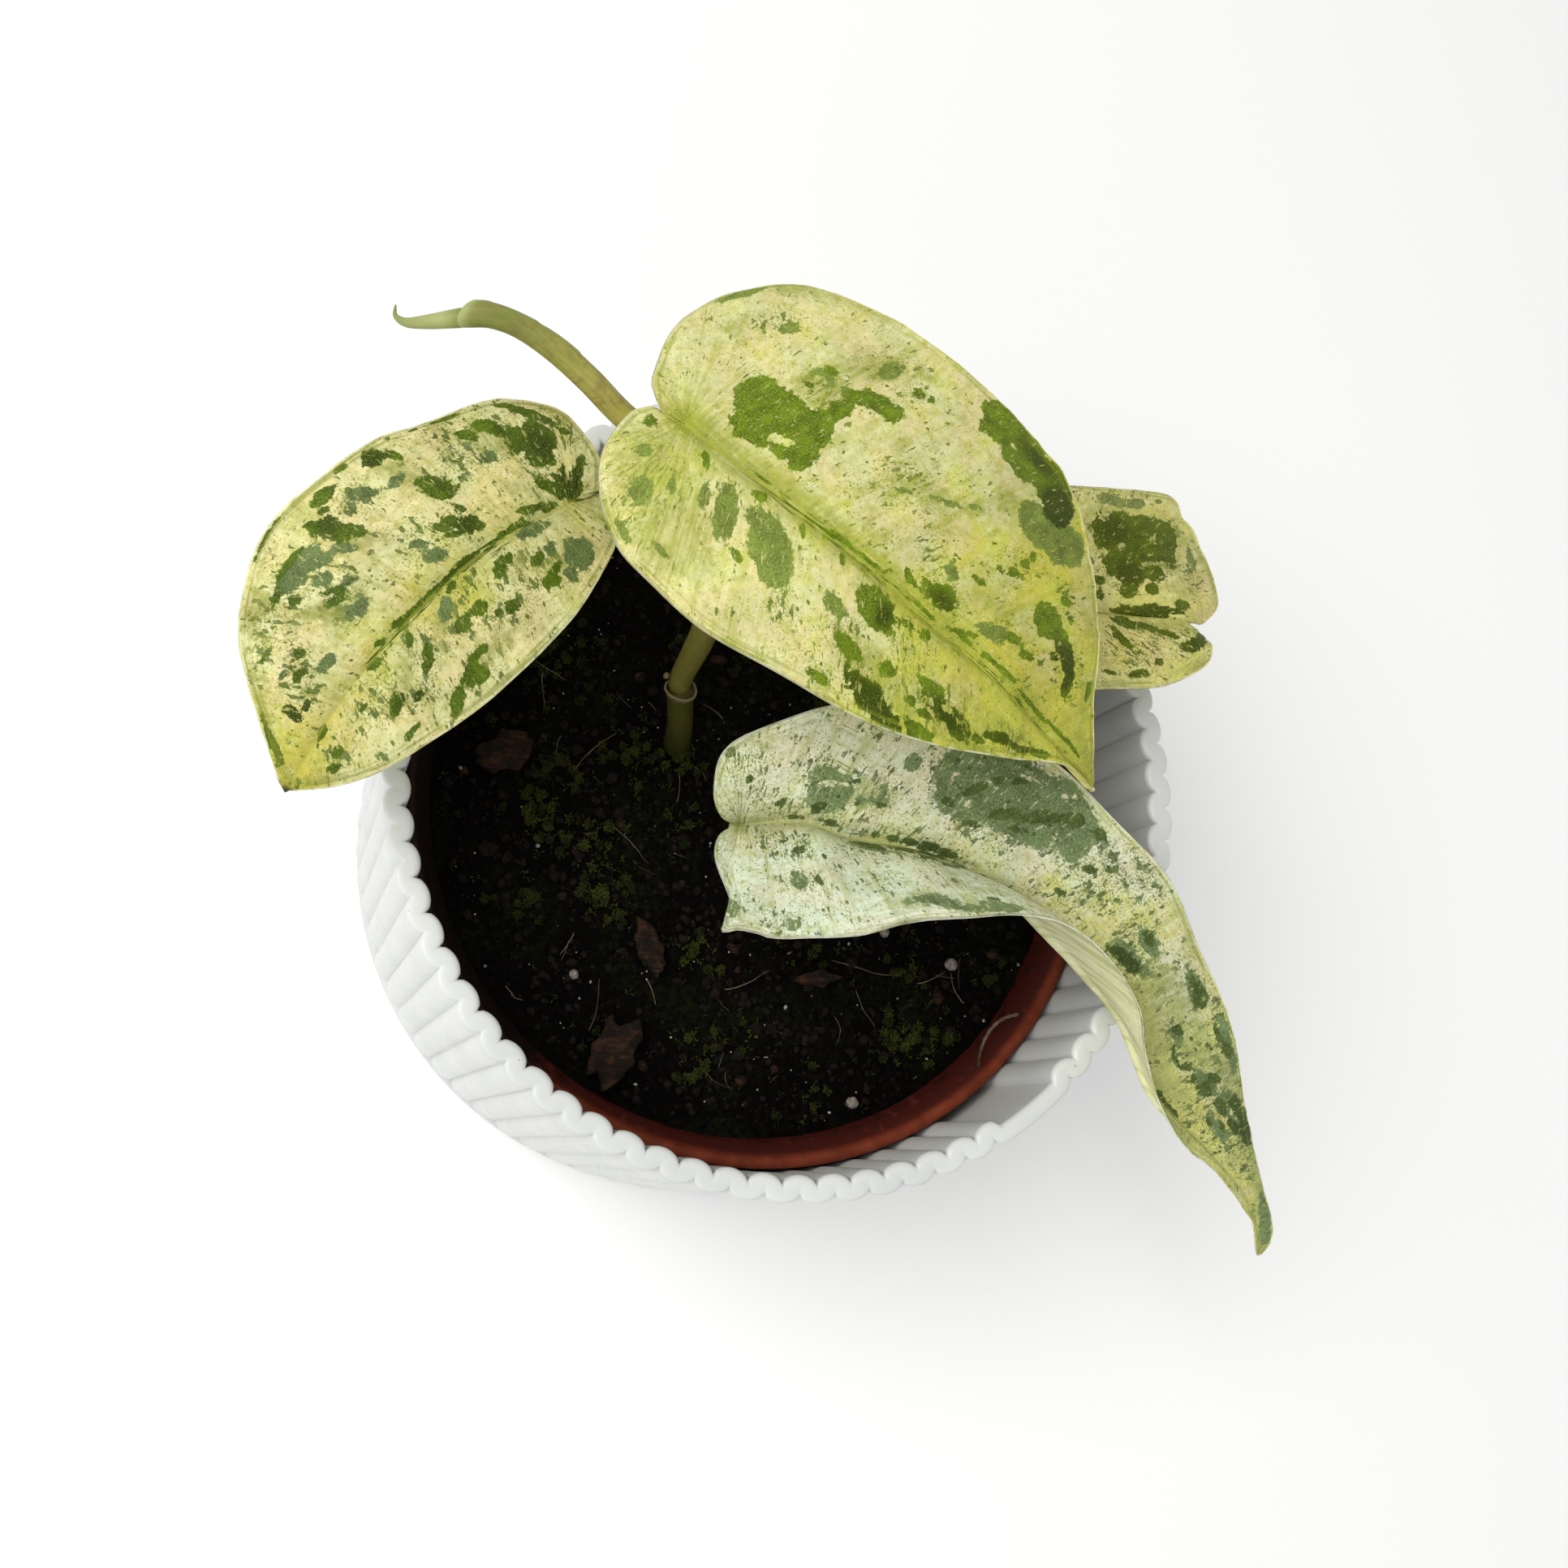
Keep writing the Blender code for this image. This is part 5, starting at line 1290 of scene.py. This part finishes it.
def build_moss(finish):
    """Cushions of moss where it is thickest, and tufts of tiny pointed leaves on and between them."""
    rng = random.Random(5)
    parts, tips, lushness = [], [], []
    roots = []
    cushion, cushion_faces = MOSS_LUMP
    while len(roots) < MOSS_CUSHIONS:
        x, y = random_spot(rng, 52)
        thick, lush = moss_share(x, y)
        if rng.random() > thick - 0.15:
            continue
        size = rng.uniform(0.45, 1.05) * (0.8 + 0.3 * lush)
        middle = on_soil(x, y, 0.15 * size)
        shaken = 1 + 0.45 * noise_at(cushion * size + middle, 0.7, 0.0, 2)
        points = cushion * shaken[:, None] * size * (1, 1, 0.75) + middle
        parts.append((points, cushion_faces))
        tips += list(np.clip(0.25 * cushion[:, 2] + 0.3 * rng.random(), 0, 0.5))
        lushness += [lush] * len(points)
        roots.append((middle, size, lush))
    leaves = 0
    while leaves < MOSS_LEAFLETS:
        x, y = random_spot(rng, 53)
        thick, lush = moss_share(x, y)
        if rng.random() < 0.55:
            middle, reach, lush = rng.choice(roots)
            turn, rise = rng.uniform(0, 6.28), rng.uniform(0.2, 1.5)
            level = math.cos(rise)
            out = np.array((math.cos(turn) * level, math.sin(turn) * level, 0.75 * math.sin(rise)))
            root, size = middle + 0.85 * reach * out, rng.uniform(0.45, 0.95)
        elif rng.random() > thick:
            continue
        else:
            root, size = on_soil(x, y, -0.1), rng.uniform(0.55, 1.25)
        for _ in range(rng.randint(4, 7)):
            points, faces = leaflet(root, rng.uniform(0, 6.28), rng.uniform(0.15, 1.3),
                                    size * rng.uniform(0.8, 1.4), size * rng.uniform(0.13, 0.24))
            parts.append((points, faces))
            tips += [0, 1, 0.55, 0.55, 0.55, 0.55]
            lushness += [lush] * 6
            leaves += 1
    points, faces = merged(parts)
    values = {"tip": tips, "lush": lushness}
    return make_piece("moss_carpet", points, faces, finish, MOSS_NODES, values=values)


BARK_TURNS = (25, 65, 110, 5)


def build_bark(finish):
    """Four flakes where the CAD has them, frayed at the ends, and scattered splinters."""
    rng = random.Random(8)
    for k in range(1, 5):
        low, high = node_box(f"bark_chip_{k}")
        middle, size = (low + high) / 2, high - low
        points, faces = bark_flake(middle, size, BARK_TURNS[k - 1])
        make_piece(f"bark_flake_{k}", points, faces, finish, [f"bark_chip_{k}"])
    parts = []
    for _ in range(SPLINTERS):
        parts.append(lump_on_soil(rng, random_spot(rng, 51), rng.uniform(0.6, 1.4), 0.3, 0.3, 0.1))
    points, faces = merged(parts)
    make_piece("bark_splinters", points, faces, finish, None)


def bark_flake(middle, size, turn):
    """A slab as long as the CAD's chip, torn at the ends and thinner at its edges."""
    angle = math.radians(turn)
    wide, deep = size[0], size[1]
    length = max(wide, deep) * 0.95
    breadth = min(wide, deep) * 0.7
    columns, rows = 26, 14
    points = []
    for face_side in (1, -1):
        for i in range(rows):
            for j in range(columns):
                u, v = 2 * j / (columns - 1) - 1, 2 * i / (rows - 1) - 1
                fray = 1 + 0.45 * noise.noise(Vector((v * 1.6, middle[0], 0.5))) * abs(u) ** 2 - 0.25 * v * v
                waist = 1 + 0.5 * noise.noise(Vector((u * 1.8, middle[1], 3.0))) - 0.3 * u * u
                x, y = u * length / 2 * fray, v * breadth / 2 * waist
                thick = size[2] / 2 * (1 - 0.5 * max(abs(u) ** 6, abs(v) ** 6))
                grain = 0.30 * noise.noise(Vector((x * 0.25 + middle[0], y * 2.2, face_side * 2.0)))
                z = face_side * thick + grain + 0.25 * math.cos(2.2 * u)
                points.append((x * math.cos(angle) - y * math.sin(angle),
                               x * math.sin(angle) + y * math.cos(angle), z))
    half = rows * columns
    faces = grid_faces(rows, columns)
    faces += [tuple(half + i for i in face[::-1]) for face in grid_faces(rows, columns)]
    rim = list(range(columns)) + [i * columns + columns - 1 for i in range(1, rows)]
    rim += [(rows - 1) * columns + j for j in range(columns - 2, -1, -1)]
    rim += [i * columns for i in range(rows - 2, 0, -1)]
    for k in range(len(rim)):
        a, b = rim[k], rim[(k + 1) % len(rim)]
        faces.append((b, a, half + a, half + b))
    return np.array(points) + middle, faces


PERLITE_BITS = [(30.3, -40.8), (13, -50), (48, -24), (-28, -30), (-45, -28), (-8, -6), (5, -33), (-37, -8),
                (39, 14), (22, 38), (-15, 46), (-44, 18), (-2, -49), (41, -34), (16, -22), (-20, -46),
                (-50, 4), (27, -18)]


def build_perlite(finish):
    """The CAD's four grains, and smaller ones between."""
    rng = random.Random(21)
    for k in range(1, 5):
        low, high = node_box(f"perlite_{k}")
        points, faces = PERLITE_LUMP
        size = (high - low) / 2
        rough = 1 + 0.16 * noise_at(points * 3, 1.6, k)
        grain = points * rough[:, None] * size * 0.97 + (low + high) / 2
        make_piece(f"perlite_grain_{k}", grain, faces, finish, [f"perlite_{k}"])
    parts = []
    for spot in PERLITE_BITS:
        parts.append(lump_on_soil(rng, spot, rng.uniform(0.25, 0.42), 0.8, 0.2, 0.25))
    for _ in range(GRIT):
        parts.append(lump_on_soil(rng, random_spot(rng, 53), rng.uniform(0.10, 0.22), 0.8, 0.2, 0.3))
    points, faces = merged(parts)
    grit = grain_finish("grit", (0.10, 0.10, 0.085), (0.42, 0.42, 0.38), 0.5, 0.6, 0.05)
    make_piece("perlite_bits", points, faces, grit, None)


ROOT = [(38, -42.2, 56.8), (37.9, -40.4, 57.6), (38.4, -37.8, 58.8), (39.8, -35.6, 59.4), (41.8, -34.2, 59.4),
        (44.6, -33.4, 58.6)]
# Fibres: middle, heading in degrees, length, bend in radians.
FIBRES = [(-21.8, -6.6, -39, 9.6, 0.1), (-27.2, -33.6, 78, 8.6, 0.25), (-1.4, -29.7, 10, 8.6, 0.1),
          (19.4, -26, -10, 12.6, 0.1), (-42, -34.2, -10, 6.4, -0.7), (-32.1, -23.8, 64, 4.2, 0.3),
          (-17.4, -31, -55, 4.4, 0.2), (18.6, -33, -67, 7, 0.35), (-28.8, 8.4, 56, 10.6, -0.35),
          (-35.5, 21.4, -26, 5.6, 0.3), (-36.2, 18.2, -75, 6.4, 0.8), (-8, 16.5, -35, 4.2, -0.3),
          (31, -27, 25, 6, 0.5), (35.5, -29, -70, 6, 0.6), (30, -47, -60, 5, 0.4)]


def build_roots(finish):
    """The pale surface root, looped about as in the CAD, and fine fibres over the soil."""
    line = smooth_curve(ROOT, 60)
    points, faces = sweep(line, 0.3 + 0.06 * np.sin(np.arange(len(line)) * 0.9), 10)
    make_piece("pale_root", points, faces, finish, ["surface_root"])
    rng = random.Random(3)
    parts = []
    for x, y, heading, length, bend in FIBRES:
        parts.append(fibre(x, y, math.radians(heading), length, bend, rng.uniform(0.06, 0.10), rng))
    for _ in range(FINE_FIBRES):
        x, y = random_spot(rng, 48)
        parts.append(fibre(x, y, rng.uniform(0, 6.28), rng.uniform(2, 6), rng.uniform(-1.4, 1.4), 0.045, rng))
    points, faces = merged(parts)
    make_piece("root_fibres", points, faces, finish, None)


def fibre(x, y, heading, length, bend, radius, rng):
    """A curved thread that lies on the soil."""
    line = []
    steps = 12
    x -= 0.5 * length * math.cos(heading)
    y -= 0.5 * length * math.sin(heading)
    heading -= bend / 2
    for k in range(steps + 1):
        inside = min(1.0, 52.0 / max(1e-6, math.hypot(x, y)))
        lift = 0.35 + 0.5 * math.sin(math.pi * k / steps)
        line.append((x * inside, y * inside, SOIL_HIGH[2] - 1.1 + lift + 0.5 * soil_relief(x, y)))
        x += length / steps * math.cos(heading)
        y += length / steps * math.sin(heading)
        heading += bend / steps + rng.uniform(-0.12, 0.12)
    return sweep(line, np.full(steps + 1, radius), 5)


# ---------------------------------------------------------------- stem, stalks and the new leaf

STEM = [(-13.6, 9, 49.5, 2.5), (-14.8, 12, 58, 2.15), (-16.3, 15.4, 64.2, 2.2), (-16.7, 16.4, 66, 2.4)]
COLLAR = (-16.75, 16.55, 66.3)
UPPER_STEM = [(-16.8, 16.6, 65.0, 1.7), (-17, 18.4, 68.4, 1.9), (-16, 23, 78, 2.2), (-16.4, 29, 92, 2.1),
              (-20, 33, 104, 1.9), (-20.8, 33.6, 105.6, 1.6)]
PETIOLES = {
    "petiole_left": [(-18.6, 28.4, 88.5, 1.7), (-19.6, 28.6, 91, 1.4), (-25, 29, 94.5, 1.3),
        (-35, 30, 101, 1.3), (-42.2, 30.2, 106, 1.2), (-43.6, 29.8, 107.7, 0.95), (-46, 28.2, 108.5, 0.45)],
    "petiole_centre": [(-14.4, 28, 89.5, 1.8), (-12.8, 31.2, 93, 1.5), (-11, 37, 99, 1.5),
        (-15.5, 42.5, 107, 1.5), (-23, 44, 113, 1.4), (-29.0, 40.6, 117.1, 1.2), (-29.8, 38.8, 118.4, 1.0),
        (-26, 36, 119.2, 0.5)],
    "petiole_right": [(-14.6, 25, 83, 1.8), (-11, 26, 85.6, 1.5), (-3, 27, 89.5, 1.4), (7, 27, 93.5, 1.3),
        (13.6, 26.3, 95.3, 1.1), (16, 26, 95.8, 0.85), (19.5, 26.1, 96, 0.45)],
    "petiole_front": [(-14.4, 23.6, 79.6, 1.6), (-10.6, 24, 81.4, 1.4), (-3, 21.4, 83.2, 1.4),
        (10, 13, 85, 1.4), (13, 2, 84, 1.4), (6, -7, 80.5, 1.3), (-4, -9.5, 79.5, 1.2),
        (-11.2, -9, 81.2, 1.05), (-12, -9, 82.6, 0.8), (-9, -8.8, 83.4, 0.4)],
}
# The rolled new leaf: the outer wrap's line up to its lip, then the furled point that comes out of it.
WRAP = [(-20.4, 33.6, 104.6, 1.5), (-22.5, 35, 106.6, 1.75), (-28.5, 38, 109.5, 1.85),
        (-37, 42.5, 112, 1.9), (-43, 45.5, 116, 1.9), (-48.5, 48, 119, 1.85), (-53.5, 49.5, 121, 1.65),
        (-57.5, 50, 122, 1.7), (-60.2, 50, 121.6, 1.8)]
POINT = [(-57.5, 49.8, 121.6, 0.9), (-60.5, 49.7, 121, 1.25), (-62.5, 49.5, 120.3, 1.2),
         (-65.5, 49.5, 118.5, 0.95), (-68, 50, 116.5, 0.65), (-69.4, 51.2, 115.6, 0.36),
         (-69.5, 52.6, 116, 0.12)]

WRAP_STEPS = 90
POINT_STEPS = 60
STALK_AROUND = 20
STALK_STEP = 0.7          # between the rings of a stalk
STALK_RADIUS = 1.5        # of a usual stalk, which sets how wide its marks are


def stalk_uv(line, around):
    """Millimetres along the stalk and round it."""
    along = np.r_[0, np.cumsum(np.linalg.norm(np.diff(line, axis=0), axis=1))]
    # The noise must meet itself round the back, so the second coordinate swings out and back.
    turn = np.abs(np.arange(around) / around * 2 - 1) * math.pi * STALK_RADIUS
    return np.c_[np.repeat(along, around), np.tile(turn, len(line))]


def build_stalk(name, stations, finish, replaced, groove=0.0):
    """A swept stalk. groove sinks a channel along its upper side."""
    around = STALK_AROUND
    stations = np.asarray(stations, float)
    count = max(12, int(np.linalg.norm(np.diff(stations[:, :3], axis=0), axis=1).sum() / STALK_STEP))
    line = smooth_curve(stations, count)
    angle = turns(around)
    up_side = np.exp(-(np.cos(angle) ** 2) / 0.18) * (np.sin(angle) < 0)
    wobble = 1 + 0.03 * noise_at(line[:, :3], 3.5)
    radii = line[:, 3, None] * wobble[:, None] * (1 - groove * up_side[None])
    points, faces = sweep(line[:, :3], radii, around)
    share = np.repeat(np.linspace(0, 1, len(line)), around)
    uv = {"stalk": stalk_uv(line[:, :3], around)}
    values = {"along": share, "ring": np.zeros(len(points))}
    return make_piece(name, points, faces, finish, replaced, uv, values)


def collar(middle, axis):
    """The scar of an old sheath: a thin pale lip round a sunken brown ring."""
    profile = [(2.2, -1.6), (2.35, -0.8), (2.62, -0.25), (2.72, 0.02), (2.66, 0.2), (2.5, 0.26), (2.32, 0.12),
               (2.22, -0.3), (2.1, -0.8), (1.2, -1.1), (0.2, -1.1), (0.2, -1.6)]
    around = 48
    axis = unit(np.asarray(axis))
    side = unit(np.cross(axis, (0, 1, 0.2)))
    other = np.cross(axis, side)
    points = []
    for r, h in profile:
        for k in range(around):
            turn = 2 * math.pi * k / around
            out = r * (1 + 0.03 * math.sin(3 * turn + 1) + 0.015 * math.sin(11 * turn))
            lift = h + 0.10 * math.sin(2 * turn + 0.6) * (r > 2)
            points.append(middle + side * out * math.cos(turn) + other * out * math.sin(turn) + axis * lift)
    faces = [face[::-1] for face in grid_faces(len(profile), around, wrap=True)]
    for j in range(around):
        last, k = (len(profile) - 1) * around, (j + 1) % around
        faces.append((last + j, j, k, last + k))
    lip = np.repeat([0.1, 0.25, 0.8, 1, 1, 1, 0.8, 0.1, 0, 0, 0, 0], around)
    along = np.repeat([0.3, 0.6, 1, 1, 1, 1, 0.6, -1, -1, -1, -1, -1], around)
    return np.array(points), faces, lip, along


def build_stem():
    finish = stalk_finish("stem", (0.014, 0.020, 0.003), (0.060, 0.066, 0.010), (0.075, 0.032, 0.012))
    build_stalk("stem_lower", STEM, finish, ["stem"])
    upper = stalk_finish("stem_upper", (0.150, 0.135, 0.025), (0.36, 0.36, 0.080), (0.24, 0.17, 0.055))
    build_stalk("stem_upper", UPPER_STEM, upper, None)
    rng = random.Random(2)
    upwards = np.array(UPPER_STEM[1][:3]) - UPPER_STEM[0][:3]
    ring_points, ring_faces, lip, along = collar(np.array(COLLAR), upwards)
    parts, count = [(ring_points, ring_faces)], 0
    for place, size in (((-19.5, 18.2, 67.6), 0.62), ((-14.4, 15.6, 66.3), 0.3)):
        points, faces = closed_lump(rng, size, 1.3, 0.08)
        parts.append((points + np.array(place), faces))
        count += len(points)
    points, faces = merged(parts)
    uvs = {"stalk": points[:, :2]}
    values = {"along": np.r_[along, np.ones(count)], "ring": np.r_[lip, np.full(count, 0.8)]}
    scar = stalk_finish("stem_scar", (0.030, 0.014, 0.005), (0.10, 0.10, 0.02), (0.24, 0.17, 0.055))
    make_piece("stem_nubs", points, faces, scar, None, uvs, values)
    stalk = stalk_finish("stalk", (0.20, 0.21, 0.05), (0.42, 0.44, 0.13), (0.30, 0.24, 0.12))
    for name, stations in PETIOLES.items():
        build_stalk(name + "_stalk", stations, stalk, [name], groove=0.22)


def turned_share(angle):
    """How much of a whole turn an angle is past the seam."""
    return angle % (2 * math.pi) / (2 * math.pi)


def build_new_leaf():
    """A blade still rolled in a tube: a wrap with a seam and an oblique lip, and its hooked point."""
    around = 28
    line = smooth_curve(WRAP, WRAP_STEPS)
    angle = turns(around)
    share = np.linspace(0, 1, len(line))
    roll = 1 + 0.13 * (turned_share(angle[None] + 2.2 - 1.6 * share[:, None]) - 0.5)
    radii = line[:, 3, None] * roll
    outer, _ = sweep(line[:, :3], radii, around)
    outer = outer.reshape(len(line), around, 3)
    tangent = unit(line[-1, :3] - line[-3, :3])
    slant = 1.7 * np.cos(angle - 3.6)
    for k, part in ((-1, 1.0), (-2, 0.8), (-3, 0.6), (-4, 0.4), (-5, 0.2)):
        outer[k] += tangent * (slant * part)[:, None]
    centre = outer[-1].mean(axis=0)
    inward = []
    for narrowed, depth in ((0.93, -0.05), (0.86, 0.1), (0.72, 1.0), (0.6, 2.5)):
        inward.append(centre + (outer[-1] - centre) * narrowed - tangent * depth)
    rings = np.concatenate([outer, np.array(inward)])
    points = rings.reshape(-1, 3)
    faces = tube_faces(len(rings), around)
    tip_line = smooth_curve(POINT, POINT_STEPS)
    tip_share = np.linspace(0, 1, len(tip_line))
    tip_roll = 1 + 0.16 * (turned_share(angle[None] + 1.0 - 3.0 * tip_share[:, None]) - 0.5)
    tip_points, tip_faces = sweep(tip_line[:, :3], tip_line[:, 3, None] * tip_roll, around)
    solid, closed = merged([(points, faces), (tip_points, tip_faces)])
    along = np.concatenate([np.repeat(np.r_[share, 1, 1, 1, 1] * 0.8, around), np.full(len(tip_points), 1.0)])
    lip_ring = np.clip((np.r_[share, 1, 1, 0.9, 0.9] - 0.975) / 0.02, 0, 1)
    tip_ring = np.interp(tip_share, [0, 0.22, 0.4, 1], [0, 0, 0.55, 0.15])
    ring = np.concatenate([np.repeat(lip_ring, around) * 0.6, np.repeat(tip_ring, around)])
    inner_line = [line[-1:, :3] + 0.1 * k for k in range(1, 5)]
    flat = np.vstack([stalk_uv(np.vstack([line[:, :3], *inner_line]), around),
                      stalk_uv(tip_line[:, :3], around) + (60, 0)])
    finish = stalk_finish("new_leaf", (0.56, 0.47, 0.115), (0.175, 0.215, 0.044), (0.24, 0.17, 0.060),
                          (0.52, 0.55, 0.24))
    return make_piece("rolled_leaf", solid, closed, finish, ["new_leaf"], {"stalk": flat},
                      {"along": along, "ring": ring})


LEAF_LOOKS = {
    "leaf_centre": {
        "finish": dict(cream=(0.72, 0.675, 0.37), yellow=(0.55, 0.53, 0.078), dark=(0.125, 0.182, 0.010),
                       grey=(0.175, 0.225, 0.042), fleck=0.44, pepper=0.55, haze=0.12, lines=0.40, pale=0.4,
                       core=0.34),
        "shape": dict(relief=1.0, wave=0.3, warm_tip=0.85, warm_from=0.32, streak=(0.06, 0.85), heart=0.75,
                      green=0.80, seed=0.3),
    },
    "leaf_left": {
        "finish": dict(cream=(0.71, 0.66, 0.362), yellow=(0.46, 0.43, 0.075), dark=(0.066, 0.106, 0.006),
                       grey=(0.105, 0.145, 0.048), fleck=0.66, pepper=0.65, haze=0.10, lines=0.42, pale=0.6,
                       core=0.50),
        "shape": dict(relief=1.0, wave=0.35, warm_tip=0.9, warm_from=0.78, streak=(0.05, 0.68), heart=0.2,
                      green=0.30, brown_tip=1.0, seed=1.7),
    },
    "leaf_right": {
        "finish": dict(cream=(0.765, 0.695, 0.35), yellow=(0.62, 0.58, 0.15), dark=(0.080, 0.110, 0.004),
                       grey=(0.18, 0.21, 0.06), fleck=0.52, pepper=0.60, haze=0.15, lines=0.42, pale=0.6,
                       core=0.60),
        "shape": dict(relief=1.0, wave=0.4, warm_tip=0.4, streak=(0.3, 0.95), heart=0.3, green=0.3, seed=2.6),
    },
    "leaf_front": {
        "finish": dict(cream=(0.78, 0.775, 0.635), yellow=(0.58, 0.575, 0.19), dark=(0.075, 0.106, 0.028),
                       grey=(0.152, 0.206, 0.089), fleck=0.66, pepper=0.80, haze=0.16, lines=0.44, pale=1.0,
                       core=0.60),
        "shape": dict(relief=0.8, wave=0.25, warm_tip=0.85, warm_from=0.30, streak=(0.1, 0.5), heart=0.6,
                      green=0.55, cool=0.75, seed=4.1),
    },
}


def build_all():
    build_camera()
    build_light()
    build_floor()
    build_cachepot(plastic_finish())
    build_nursery_pot(terracotta_finish())
    build_soil(soil_finish())
    build_crumbs(grain_finish("peat", (0.0012, 0.0008, 0.0007), (0.012, 0.007, 0.005), 1.1, 0.9, 0.2))
    build_moss(moss_finish((0.010, 0.015, 0.003), (0.130, 0.150, 0.022)))
    build_bark(bark_finish())
    build_perlite(grain_finish("perlite", (0.13, 0.11, 0.09), (0.30, 0.27, 0.24), 1.4, 0.8, 0.12))
    build_roots(grain_finish("root", (0.050, 0.030, 0.014), (0.22, 0.175, 0.115), 0.16, 0.6, 0.05))
    build_stem()
    build_new_leaf()
    for name, settings in LEAF_LOOKS.items():
        finish = blade_finish(name + "_skin", **settings["finish"])
        build_leaf(name, finish, **settings["shape"])


LUMP = make_lump_base(1)
MOSS_LUMP = make_lump_base(2)
PERLITE_LUMP = make_lump_base(3)
build_all()
bpy.context.scene.view_settings.view_transform = "Standard"
